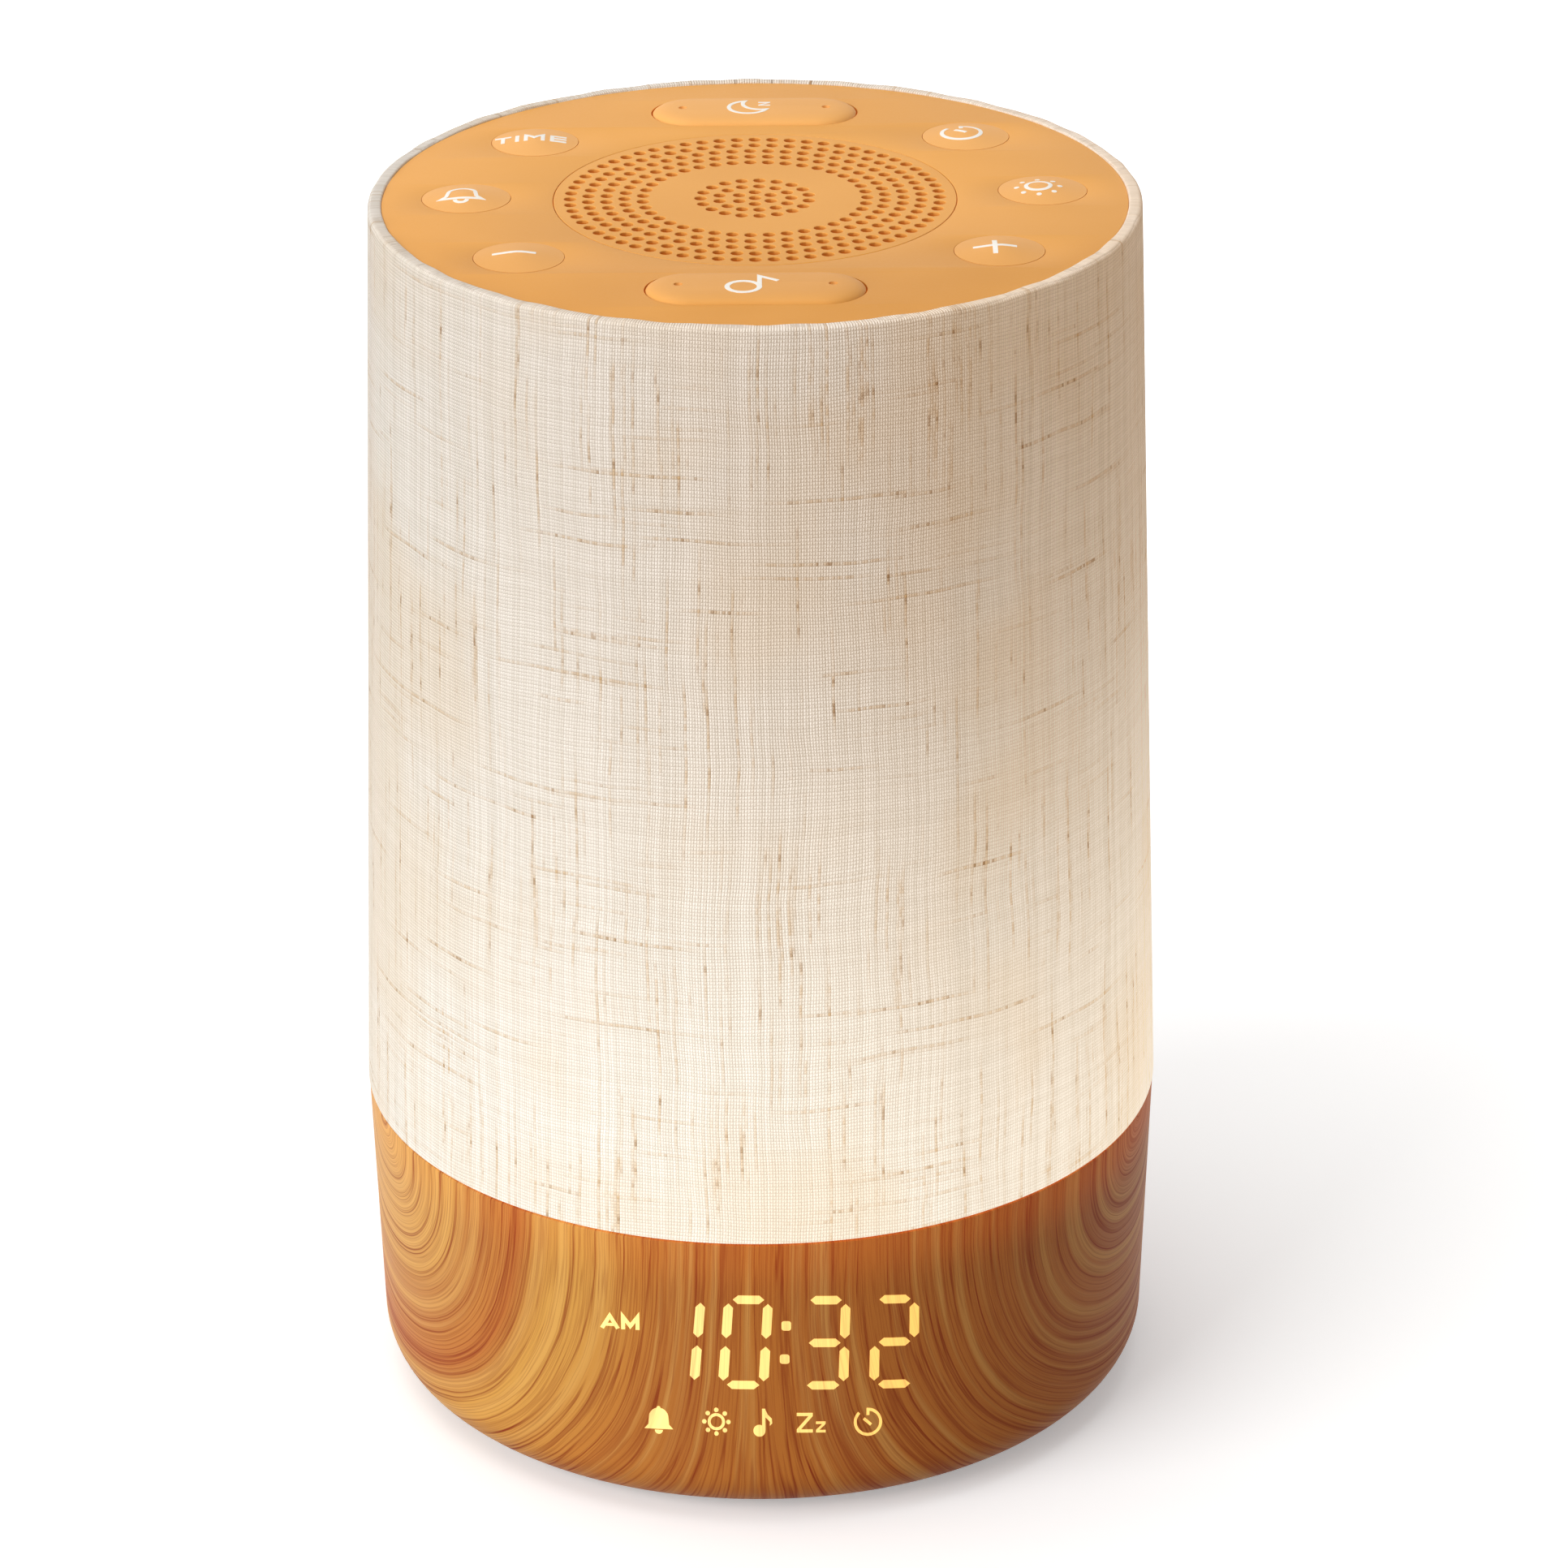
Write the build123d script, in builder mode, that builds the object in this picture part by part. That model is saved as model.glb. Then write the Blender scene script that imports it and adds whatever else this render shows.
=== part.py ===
from build123d import *
import os
from math import asin, cos, degrees, pi, radians, sin

# White noise sound machine: a round wood-grain base with a clock, a lit body under a stretched
# fabric cover, and a top panel of keys round a speaker grille. The axis is Z and the origin lies
# on the table under the middle of the base. The clock faces -Y and the power inlet faces +Y.
# Lengths are in millimetres and angles in degrees.

# --- Outer form ------------------------------------------------------------------------------
rim_height = 158.5  # upper edge of the fabric; the keys stand a little higher
seam_height = 40.5  # where the fabric body meets the wood-grain base
foot_thickness = 1.0
cover_foot_radius = 51.0
cover_top_radius = 47.3
shell_step = 0.1  # the shell is this much narrower than the fabric at the seam
shell_taper = 1.1  # from the seam down to the rounded lower corner
shell_corner = 6.5
rim_step = 0.3  # the fabric rim stands this far above the panel

# --- Walls and clearances --------------------------------------------------------------------
cloth = 0.5
cloth_glue = 0.1
seam_gap = 0.3  # bare strip of the diffuser that glows along the seam
rim_width = 1.6
shell_wall = 2.2
tube_wall = 1.6
spigot_depth = 3.7
part_gap = 0.2  # between fixed plastic pieces that slip into one another
key_gap = 0.15  # round a key in its aperture
rocker_gap = 0.25  # round a rocker, which swings in its aperture
pin_gap = 0.06  # radial running fit of a rocker on its pin

# --- Sides of the round pieces: the outer ones lie within about 0.1 mm of a true circle
wall_sides = 48
ring_sides = 28
key_sides = 16
pin_sides = 12
small_sides = 8
corner_steps = 4  # straight bands round the lower corner of the base

# --- Top panel and keys ----------------------------------------------------------------------
panel_thickness = 2.0
panel_lug_depth = 3.0
panel_lug_width = 5.0
panel_lug_reach = 2.2
panel_lug_count = 6
key_inset = 10.2  # middle of a round key inside the panel's edge
key_step = 37.9
right_keys = 3.4  # angle of the middle key on the right
left_keys = 179.2
key_radius = 5.3
key_crown = 0.75  # rise of the shallow cone on top of a round key
key_tip_radius = 0.8
key_stop_gap = 0.1  # between the flange and the panel at rest
key_flange = 12.4
key_flange_thickness = 1.0
key_travel = 0.5
stem_width = 2.4
stem_length = 0.8
pill_length = 25.9
pill_width = 10.6
pill_proud = 0.7
pill_depth = 3.3
pill_edge = 0.4  # bevel round the top of a rocker
dimple_x = 9.1
dimple_radius = 0.45
dimple_depth = 0.4
sleep_pill_inset = 12.0
sound_pill_inset = 12.45
pill_switch_x = 8.6
pin_radius = 0.8
pin_drop = 1.2  # pin axis below the underside of the panel
saddle_length = 1.1
saddle_width = 3.4
saddle_wall = 1.1
hub_width = 4.0

# --- Switches and their board ----------------------------------------------------------------
switch_size = 6.0
switch_height = 3.0
plunger_width = 3.0
plunger_length = 2.0
plunger_proud = 0.8
board_thickness = 1.6
key_board_inset = 2.8  # inside the panel's edge

# --- Speaker ---------------------------------------------------------------------------------
grille_radius = 24.6
grille_gap = 0.1
hole_radius = 0.7
hole_pitch = 3.8
hole_margin = 1.9
hole_sides = 6
outer_hole_rings = 3
inner_hole_rings = 2
gasket_thickness = 2.4
gasket_radius = 25.6
gasket_width = 2.0
diaphragm_radius = 23.0
diaphragm_gap = 0.3
diaphragm_sheet = 1.2
coil_radius = 8.8
coil_wall = 0.5
coil_length = 15.4
flange_thickness = 1.2
flange_radius = 26.8
arm_angles = (45.0, 135.0, 225.0, 315.0)
arm_width = 4.0
arm_section = 1.3
arm_foot = 2.6  # how far an arm reaches over the back plate
arm_gap = 1.2  # outside the diaphragm
motor_radius = 15.5
motor_height = 9.2
motor_floor = 2.5
basket_depth = 10.2
plate_thickness = 1.2
box_radius = 27.0
box_wall = 1.2
box_height = 35.6
box_spigot = 4.0
speaker_screw_radius = 29.2
ear_width = 4.4

# --- Light column ----------------------------------------------------------------------------
column_apothem = 15.0
column_sides = 6
column_wall = 1.6
led_board_radius = 32.0
led_ring_radius = 25.0
led_count = 12
led_size = (3.5, 2.8, 1.2)

# --- Base ------------------------------------------------------------------------------------
deck_thickness = 2.0
deck_drop = 4.0  # top of the deck below the seam
deck_sides = 12
rib_angles = (25.0, 155.0, 205.0, 335.0)
rib_reach = 4.5
rib_width = 4.0
rib_height = 4.5
post_angles = (20.0, 160.0, 215.0, 325.0)
post_inset = 8.8  # inside the lid opening
post_radius = 2.8
post_bore_depth = 15.0
cover_thickness = 2.4
lid_inset = 0.6  # the lid opening starts inside the rounded corner
foot_count = 4
foot_radius = 4.5
foot_inset = 4.8  # inside the lid opening

# --- Electronics in the base -----------------------------------------------------------------
board_side_inset = 18.8  # side of the main board inside the lid opening
board_rear_inset = 11.9  # rear of the main board inside the shell
board_tongue_width = 24.0
board_rear_gap = 1.0
main_board_rise = 5.0
standoff_radius = 2.2
board_screw_inset = 4.0
ribbon_width = 6.0
ribbon_thickness = 0.5
ribbon_y = 12.0
ribbon_bend = 2.0
ribbon_slot = 12.0  # height of the column's slot for the ribbon
connector_size = (9.0, 4.0, 5.0)
chip_size = (13.0, 13.0, 1.2)
chip_y = -13.5
amplifier_size = (6.0, 6.0, 1.2)
amplifier_y = 2.8
capacitor_radius = 4.0
capacitor_height = 9.0
capacitor_spread = (26.6, 12.0)

# --- Power inlet -----------------------------------------------------------------------------
well_width = 12.6
well_height = 6.8
well_depth = 5.4
shroud_wall = 1.2
shroud_floor = 0.8  # plate at the bottom of the well, with a slot for the socket
socket_size = (8.94, 7.3, 3.26)
socket_wall = 0.35
socket_back = 1.4
tongue_size = (6.7, 4.6, 0.7)

# --- Clock -----------------------------------------------------------------------------------
display_skin = 0.9  # wood-grain wall left in front of the clock
display_half_width = 24.2
display_end_gap = 0.8
display_low = 11.0
display_drop = 6.5  # top of the clock's pocket below the seam
display_depth = 9.3
display_gap = 0.25
digit_pitch = 8.5
digit_width = 6.8
digit_height = 13.6
digit_drop = 8.4  # middle of the digits below the top of the pocket
colon_x = 3.0
colon_width = 1.8
meridiem_x = -17.7
meridiem_width = 5.4
meridiem_height = 5.0
icon_pitch = 6.6
icon_width = 5.2
icon_height = 5.2
icon_rise = 3.8  # middle of the icons above the foot of the pocket

# --- Screws ----------------------------------------------------------------------------------
screw_radius = 0.9
screw_head_radius = 1.7
screw_head = 1.2
board_screw_length = 5.0
base_screw_radius = 1.3
base_head_radius = 2.4
base_head = 1.4
base_screw_length = 11.0
bore_gap = 0.1

# --- Derived levels --------------------------------------------------------------------------
shell_foot = foot_thickness
shell_top_radius = cover_foot_radius - shell_step
shell_low_radius = shell_top_radius - shell_taper
corner_radius = shell_low_radius - shell_corner
lid_radius = corner_radius - lid_inset
inner_radius = shell_low_radius - shell_wall
panel_top = rim_height - rim_step
panel_under = panel_top - panel_thickness
tube_top = rim_height - cloth - cloth_glue
rim_inner_radius = cover_top_radius - rim_width
panel_radius = rim_inner_radius - part_gap
key_ring_radius = panel_radius - key_inset
sleep_pill_y = panel_radius - sleep_pill_inset
sound_pill_y = sound_pill_inset - panel_radius
key_board_radius = panel_radius - key_board_inset
pin_level = panel_under - pin_drop
plunger_top = panel_under - key_stop_gap - key_flange_thickness - stem_length
switch_top = plunger_top - plunger_proud
key_board_top = switch_top - switch_height
key_board_under = key_board_top - board_thickness
gasket_under = panel_under - gasket_thickness
flange_under = gasket_under - flange_thickness
box_under = flange_under - box_height
deck_top = seam_height - deck_drop
deck_under = deck_top - deck_thickness
cover_top = shell_foot + cover_thickness
post_ring_radius = lid_radius - post_inset
foot_ring_radius = lid_radius - foot_inset
main_board_width = 2 * (lid_radius - board_side_inset)
main_board_rear = shell_low_radius - board_rear_inset
main_board_under = cover_top + main_board_rise
main_board_top = main_board_under + board_thickness
socket_middle = main_board_top + socket_size[2] / 2
spigot_radius = shell_top_radius - shell_wall - part_gap
well_floor = shell_low_radius - well_depth
display_high = seam_height - display_drop
digit_middle = display_high - digit_drop
icon_middle = display_low + icon_rise
display_back = shell_low_radius - display_depth
display_angle = degrees(asin(display_half_width / shell_low_radius))
guide_angle = degrees(asin((display_half_width - display_end_gap) / shell_low_radius))

round_keys = {
    "power_key": right_keys + key_step,
    "light_key": right_keys,
    "plus_key": right_keys - key_step,
    "time_key": left_keys - key_step,
    "alarm_key": left_keys,
    "minus_key": left_keys + key_step,
}
screw_angles = [
    middle + side * key_step / 2 for middle in (right_keys, left_keys) for side in (1, -1)
]


def cover_radius(height):
    """Outer radius of the stretched fabric at a height."""
    share = (height - seam_height) / (rim_height - seam_height)
    return cover_foot_radius + share * (cover_top_radius - cover_foot_radius)


def shell_radius(height):
    """Outer radius of the base shell above its rounded lower corner."""
    low = shell_foot + shell_corner
    share = (height - low) / (seam_height - low)
    return shell_low_radius + share * (shell_top_radius - shell_low_radius)


def polar(radius, angle):
    """A place on a circle about the axis."""
    return (radius * cos(radians(angle)), radius * sin(radians(angle)))


def polars(radius, angles):
    """Places on a circle about the axis, each turned to face outwards."""
    return [Location((*polar(radius, angle), 0), (0, 0, angle)) for angle in angles]


def upright(angle):
    """A vertical plane through the axis, with x outwards and y up."""
    return Plane(
        origin=(0, 0, 0),
        x_dir=(cos(radians(angle)), sin(radians(angle)), 0),
        z_dir=(sin(radians(angle)), -cos(radians(angle)), 0),
    )


def pill_sketch(length, width, mode=Mode.ADD):
    """The long round-ended outline of a rocker, or of its opening."""
    end_reach = (length - width) / 2
    Rectangle(2 * end_reach, width, mode=mode)
    with Locations((-end_reach, 0), (end_reach, 0)):
        RegularPolygon(width / 2, key_sides, mode=mode)


def save(name, piece):
    """Label a finished piece and write it as its own STEP file."""
    piece.label = name
    export_step(piece, f"parts/{name}.step")


os.makedirs("parts", exist_ok=True)


# --- Fabric cover: a stretched sleeve whose upper edge is turned over the rim ------------------
hem_level = seam_height + seam_gap
turn_level = rim_height - cloth
with BuildPart() as fabric_cover:
    for level in (hem_level, rim_height):
        with BuildSketch(Plane.XY.offset(level)):
            RegularPolygon(cover_radius(level), wall_sides)
    loft(ruled=True)
    for level in (hem_level, turn_level):
        with BuildSketch(Plane.XY.offset(level)):
            RegularPolygon(cover_radius(level) - cloth, wall_sides)
    loft(ruled=True, mode=Mode.SUBTRACT)
    with BuildSketch(Plane.XY.offset(turn_level)):
        RegularPolygon(rim_inner_radius, wall_sides)
    extrude(amount=cloth, mode=Mode.SUBTRACT)
save("fabric_cover", fabric_cover.part)

# --- Diffuser tube: the translucent body, with a spigot in the base and lugs under the panel ---
skin = cloth + cloth_glue
spigot_foot = seam_height - spigot_depth
with BuildPart() as diffuser_tube:
    for level in (seam_height, tube_top):
        with BuildSketch(Plane.XY.offset(level)):
            RegularPolygon(cover_radius(level) - skin, wall_sides)
    loft(ruled=True)
    with BuildSketch(Plane.XY.offset(spigot_foot)):
        RegularPolygon(spigot_radius, wall_sides)
    extrude(amount=spigot_depth)
    for radius, level in ((spigot_radius - tube_wall, spigot_foot), (rim_inner_radius, tube_top)):
        with BuildSketch(Plane.XY.offset(level)):
            RegularPolygon(radius, wall_sides)
    loft(ruled=True, mode=Mode.SUBTRACT)
    with BuildSketch(Plane.XY.offset(panel_under)):
        with PolarLocations(rim_inner_radius, panel_lug_count, start_angle=right_keys):
            Rectangle(panel_lug_reach * 2, panel_lug_width)
        RegularPolygon(
            cover_radius(tube_top) - skin - tube_wall / 2, wall_sides, mode=Mode.INTERSECT
        )
    extrude(amount=-panel_lug_depth)
save("diffuser_tube", diffuser_tube.part)

# --- Top panel: apertures for the keys, saddles for the rocker pins and bosses for the screws --
saddle_offset = pill_width / 2 + rocker_gap + saddle_length / 2
boss_radius = ear_width / 2
with BuildPart() as top_panel:
    with BuildSketch(Plane.XY.offset(panel_under)):
        RegularPolygon(panel_radius, wall_sides)
        RegularPolygon(grille_radius + grille_gap, ring_sides, mode=Mode.SUBTRACT)
        with Locations(*polars(key_ring_radius, round_keys.values())):
            RegularPolygon(key_radius + key_gap, key_sides, mode=Mode.SUBTRACT)
        with Locations((0, sleep_pill_y), (0, sound_pill_y)):
            pill_sketch(pill_length + 2 * rocker_gap, pill_width + 2 * rocker_gap, Mode.SUBTRACT)
    extrude(amount=panel_thickness)
    with BuildSketch(Plane.XY.offset(panel_under)):
        with Locations(*polars(speaker_screw_radius, screw_angles)):
            RegularPolygon(boss_radius, small_sides)
    extrude(amount=-gasket_thickness)
    with BuildSketch(Plane.XY.offset(panel_under)):
        for pill_y in (sleep_pill_y, sound_pill_y):
            with Locations((0, pill_y - saddle_offset), (0, pill_y + saddle_offset)):
                Rectangle(saddle_width, saddle_length)
    extrude(amount=-(pin_drop + saddle_wall))
    with BuildSketch(Plane.XY.offset(gasket_under)):
        with Locations(*polars(speaker_screw_radius, screw_angles)):
            RegularPolygon(screw_radius, small_sides)
    extrude(amount=gasket_thickness + panel_thickness / 2, mode=Mode.SUBTRACT)
    with BuildSketch(Plane.XZ):
        with Locations((0, pin_level)):
            RegularPolygon(pin_radius, pin_sides)
    extrude(amount=panel_radius, both=True, mode=Mode.SUBTRACT)
save("top_panel", top_panel.part)

# --- Speaker grille: rings of small holes round a plain band -----------------------------------
outer_ring = grille_radius - hole_margin
ring_radii = [outer_ring - hole_pitch * ring for ring in range(outer_hole_rings)]
ring_radii += [hole_pitch * (ring + 1) for ring in range(inner_hole_rings)]
with BuildPart() as speaker_grille:
    with BuildSketch(Plane.XY.offset(panel_under)):
        RegularPolygon(grille_radius, ring_sides)
        RegularPolygon(hole_radius, hole_sides, mode=Mode.SUBTRACT)
        for ring_radius in ring_radii:
            hole_count = int(2 * pi * ring_radius / hole_pitch)
            with PolarLocations(ring_radius, hole_count):
                RegularPolygon(hole_radius, hole_sides, mode=Mode.SUBTRACT)
    extrude(amount=panel_thickness)
save("speaker_grille", speaker_grille.part)


# --- Round keys: a shallow cone on top, a flange that stops under the panel, and a stem --------
def round_key(angle):
    """The key whose middle lies on the key circle at the given angle."""
    with BuildPart() as key:
        with BuildSketch(Plane.XY.offset(panel_under - key_stop_gap)):
            with Locations(*polars(key_ring_radius, [angle])):
                RegularPolygon(key_radius, key_sides)
        extrude(amount=key_stop_gap + panel_thickness + key_crown)
        chamfer(
            key.edges().group_by(Axis.Z)[-1],
            length=key_radius - key_tip_radius,
            length2=key_crown,
            reference=key.faces().sort_by(Axis.Z)[-1],
        )
        with BuildSketch(Plane.XY.offset(panel_under - key_stop_gap)):
            with Locations(*polars(key_ring_radius, [angle])):
                Rectangle(key_flange, key_flange)
        extrude(amount=-key_flange_thickness)
        with BuildSketch(Plane.XY.offset(plunger_top)):
            with Locations(*polars(key_ring_radius, [angle])):
                Rectangle(stem_width, stem_width)
        extrude(until=Until.NEXT)
    return key.part


def key_plunger(angle):
    """The plunger of the switch below a round key, which moves with the key."""
    with BuildPart() as plunger:
        with BuildSketch(Plane.XY.offset(plunger_top)):
            with Locations(*polars(key_ring_radius, [angle])):
                Rectangle(plunger_width, plunger_width)
        extrude(amount=-plunger_length)
    return plunger.part


for key_name, key_angle in round_keys.items():
    save(key_name, round_key(key_angle))
    save(key_name.replace("_key", "_plunger"), key_plunger(key_angle))


# --- Rockers: a long key on a cross pin, with a foot over a switch at each end -----------------
def rocker(pill_y):
    """The rocker whose pin lies at the given distance in front of or behind the axis."""
    body_under = panel_top + pill_proud - pill_depth
    with BuildPart() as pill:
        with BuildSketch(Plane.XY.offset(body_under)):
            with Locations((0, pill_y)):
                pill_sketch(pill_length, pill_width)
        extrude(amount=pill_depth)
        chamfer(pill.edges().group_by(Axis.Z)[-1], length=pill_edge)
        with BuildSketch(Plane.XY.offset(panel_top + pill_proud)):
            with Locations((-dimple_x, pill_y), (dimple_x, pill_y)):
                RegularPolygon(dimple_radius, small_sides)
        extrude(amount=-dimple_depth, mode=Mode.SUBTRACT)
        with BuildSketch(Plane.XY.offset(pin_level - hub_width / 2)):
            with Locations((0, pill_y)):
                Rectangle(hub_width, pill_width - hub_width / 2)
        extrude(amount=hub_width / 2 + pin_drop)
        with BuildSketch(Plane.XY.offset(plunger_top + key_travel)):
            with Locations((-pill_switch_x, pill_y), (pill_switch_x, pill_y)):
                Rectangle(stem_width, stem_width)
        extrude(until=Until.NEXT)
        with BuildSketch(Plane.XZ.offset(-pill_y)):
            with Locations((0, pin_level)):
                RegularPolygon(pin_radius + pin_gap, pin_sides, major_radius=False)
        extrude(amount=pill_width, both=True, mode=Mode.SUBTRACT)
    return pill.part


save("sleep_rocker", rocker(sleep_pill_y))
save("sound_rocker", rocker(sound_pill_y))

pin_reach = saddle_offset + saddle_length / 2
with BuildPart() as rocker_pins:
    for pill_y in (sleep_pill_y, sound_pill_y):
        with BuildSketch(Plane.XZ.offset(-pill_y)):
            with Locations((0, pin_level)):
                RegularPolygon(pin_radius, pin_sides)
        extrude(amount=pin_reach, both=True)
save("rocker_pins", rocker_pins.part)

# --- Key board and its switches ----------------------------------------------------------------
rocker_switches = [
    Location((x, y, 0)) for y in (sleep_pill_y, sound_pill_y) for x in (-pill_switch_x, pill_switch_x)
]
key_switches = polars(key_ring_radius, round_keys.values())
with BuildPart() as key_board:
    with BuildSketch(Plane.XY.offset(key_board_under)):
        RegularPolygon(key_board_radius, wall_sides)
        RegularPolygon(box_radius + part_gap, ring_sides, mode=Mode.SUBTRACT)
        with Locations(*polars(speaker_screw_radius, screw_angles)):
            RegularPolygon(screw_radius + bore_gap, small_sides, mode=Mode.SUBTRACT)
    extrude(amount=board_thickness)
save("key_board", key_board.part)

with BuildPart() as tact_switches:
    with BuildSketch(Plane.XY.offset(key_board_top)):
        with Locations(*key_switches, *rocker_switches):
            Rectangle(switch_size, switch_size)
    extrude(amount=switch_height)
    with BuildSketch(Plane.XY.offset(switch_top)):
        with Locations(*key_switches):
            Rectangle(plunger_width + 2 * key_gap, plunger_width + 2 * key_gap)
    extrude(amount=-(plunger_length - plunger_proud + key_travel + key_gap), mode=Mode.SUBTRACT)
    with BuildSketch(Plane.XY.offset(switch_top)):
        with Locations(*rocker_switches):
            Rectangle(plunger_width, plunger_width)
    extrude(amount=plunger_proud)
save("tact_switches", tact_switches.part)

# --- Speaker: gasket, basket, flat diaphragm with its coil, and the magnet motor ------------------
with BuildPart() as speaker_gasket:
    with BuildSketch(Plane.XY.offset(gasket_under)):
        RegularPolygon(gasket_radius, ring_sides)
        RegularPolygon(gasket_radius - gasket_width, ring_sides, mode=Mode.SUBTRACT)
    extrude(amount=gasket_thickness)
save("speaker_gasket", speaker_gasket.part)

plate_top = flange_under - basket_depth
plate_under = plate_top - plate_thickness
bore_radius = coil_radius + diaphragm_gap
arm_top = diaphragm_radius + arm_gap
with BuildPart() as speaker_basket:
    with BuildSketch(Plane.XY.offset(flange_under)):
        RegularPolygon(flange_radius, ring_sides)
        with Locations(*polars(speaker_screw_radius, screw_angles)):
            RegularPolygon(boss_radius, small_sides)
        with Locations(*polars(speaker_screw_radius - ear_width / 2, screw_angles)):
            Rectangle(ear_width, ear_width)
        RegularPolygon(diaphragm_radius + diaphragm_gap, ring_sides, mode=Mode.SUBTRACT)
        with Locations(*polars(speaker_screw_radius, screw_angles)):
            RegularPolygon(screw_radius + bore_gap, small_sides, mode=Mode.SUBTRACT)
    extrude(amount=flange_thickness)
    with BuildSketch(Plane.XY.offset(plate_under)):
        RegularPolygon(motor_radius, ring_sides)
        RegularPolygon(bore_radius, ring_sides, mode=Mode.SUBTRACT)
    extrude(amount=plate_thickness)
    for arm_angle in arm_angles:
        with BuildSketch(upright(arm_angle)):
            with BuildLine():
                Polyline(
                    (arm_top, flange_under),
                    (arm_top + arm_section, flange_under),
                    (motor_radius, plate_top),
                    (motor_radius, plate_under),
                    (motor_radius - arm_foot, plate_under),
                    (motor_radius - arm_foot, plate_top),
                    close=True,
                )
            make_face()
        extrude(amount=arm_width / 2, both=True)
save("speaker_basket", speaker_basket.part)

diaphragm_under = flange_under
with BuildPart() as speaker_diaphragm:
    with BuildSketch(Plane.XY.offset(diaphragm_under)):
        RegularPolygon(diaphragm_radius, ring_sides)
    extrude(amount=diaphragm_sheet)
    with BuildSketch(Plane.XY.offset(diaphragm_under)):
        RegularPolygon(coil_radius, ring_sides)
        RegularPolygon(coil_radius - coil_wall, ring_sides, mode=Mode.SUBTRACT)
    extrude(amount=-coil_length)
save("speaker_diaphragm", speaker_diaphragm.part)

motor_under = plate_under - motor_height
with BuildPart() as speaker_motor:
    with BuildSketch(Plane.XY.offset(motor_under)):
        RegularPolygon(motor_radius, ring_sides)
    extrude(amount=motor_height)
    with BuildSketch(Plane.XY.offset(motor_under + motor_floor)):
        RegularPolygon(bore_radius, ring_sides)
    extrude(amount=motor_height - motor_floor, mode=Mode.SUBTRACT)
save("speaker_motor", speaker_motor.part)

# --- Speaker box: the closed cup behind the speaker, on top of the light column ----------------
box_inner = box_radius - box_wall
with BuildPart() as speaker_box:
    with BuildSketch(Plane.XY.offset(box_under)):
        RegularPolygon(box_radius, ring_sides)
    extrude(amount=box_height)
    with BuildSketch(Plane.XY.offset(box_under + box_wall)):
        RegularPolygon(box_inner, ring_sides)
    extrude(amount=box_height - box_wall, mode=Mode.SUBTRACT)
    with BuildSketch(Plane.XY.offset(key_board_top)):
        with Locations(*polars(speaker_screw_radius, screw_angles)):
            RegularPolygon(boss_radius, small_sides)
        with Locations(*polars((box_inner + speaker_screw_radius) / 2, screw_angles)):
            Rectangle(speaker_screw_radius - box_inner, ear_width)
        with Locations(*polars(speaker_screw_radius, screw_angles)):
            RegularPolygon(screw_radius + bore_gap, small_sides, mode=Mode.SUBTRACT)
    extrude(amount=flange_under - key_board_top)
    with BuildSketch(Plane.XY.offset(box_under)):
        RegularPolygon(column_apothem - column_wall - part_gap, column_sides, major_radius=False)
    extrude(amount=-box_spigot)
save("speaker_box", speaker_box.part)

screw_length = gasket_thickness + flange_thickness + flange_under - key_board_under
with BuildPart() as speaker_screws:
    with BuildSketch(Plane.XY.offset(key_board_under)):
        with Locations(*polars(speaker_screw_radius, screw_angles)):
            RegularPolygon(screw_radius, small_sides)
    extrude(amount=screw_length)
    with BuildSketch(Plane.XY.offset(key_board_under)):
        with Locations(*polars(speaker_screw_radius, screw_angles)):
            RegularPolygon(screw_head_radius, small_sides)
    extrude(amount=-screw_head)
save("speaker_screws", speaker_screws.part)

# --- Light column and LED board ----------------------------------------------------------------
ribbon_outer = box_radius + part_gap + ribbon_thickness
slot_top = box_under - box_spigot - ribbon_thickness
slot_width = ribbon_width + 2 * part_gap
with BuildPart() as light_column:
    with BuildSketch(Plane.XY.offset(deck_top)):
        RegularPolygon(column_apothem, column_sides, major_radius=False)
        RegularPolygon(
            column_apothem - column_wall, column_sides, major_radius=False, mode=Mode.SUBTRACT
        )
    extrude(amount=box_under - deck_top)
    with BuildSketch(Plane.XZ.offset(-ribbon_y)):
        with Locations((0, slot_top)):
            Rectangle(slot_width, ribbon_slot, align=(Align.CENTER, Align.MAX))
    extrude(amount=-column_apothem, mode=Mode.SUBTRACT)
save("light_column", light_column.part)

with BuildPart() as led_board:
    with BuildSketch(Plane.XY.offset(deck_top)):
        RegularPolygon(led_board_radius, small_sides)
        RegularPolygon(
            column_apothem + part_gap, column_sides, major_radius=False, mode=Mode.SUBTRACT
        )
    extrude(amount=board_thickness)
save("led_board", led_board.part)

with BuildPart() as leds:
    with BuildSketch(Plane.XY.offset(deck_top + board_thickness)):
        with PolarLocations(led_ring_radius, led_count):
            Rectangle(led_size[0], led_size[1])
    extrude(amount=led_size[2])
save("leds", leds.part)

# --- Base deck: closes the base, carries the column, and takes the bottom screws in its posts --
post_places = polars(post_ring_radius, post_angles)
deck_radius = spigot_radius - part_gap
with BuildPart() as base_deck:
    with BuildSketch(Plane.XY.offset(deck_under)):
        RegularPolygon(deck_radius, deck_sides)
        with Locations((0, ribbon_y)):
            Rectangle(slot_width, ribbon_thickness + 2 * part_gap, mode=Mode.SUBTRACT)
    extrude(amount=deck_thickness)
    with BuildSketch(Plane.XY.offset(cover_top)):
        with Locations(*post_places):
            RegularPolygon(post_radius, small_sides)
    extrude(amount=deck_under - cover_top)
    with BuildSketch(Plane.XY.offset(cover_top)):
        with Locations(*post_places):
            RegularPolygon(base_screw_radius, small_sides)
    extrude(amount=post_bore_depth, mode=Mode.SUBTRACT)
save("base_deck", base_deck.part)

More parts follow.
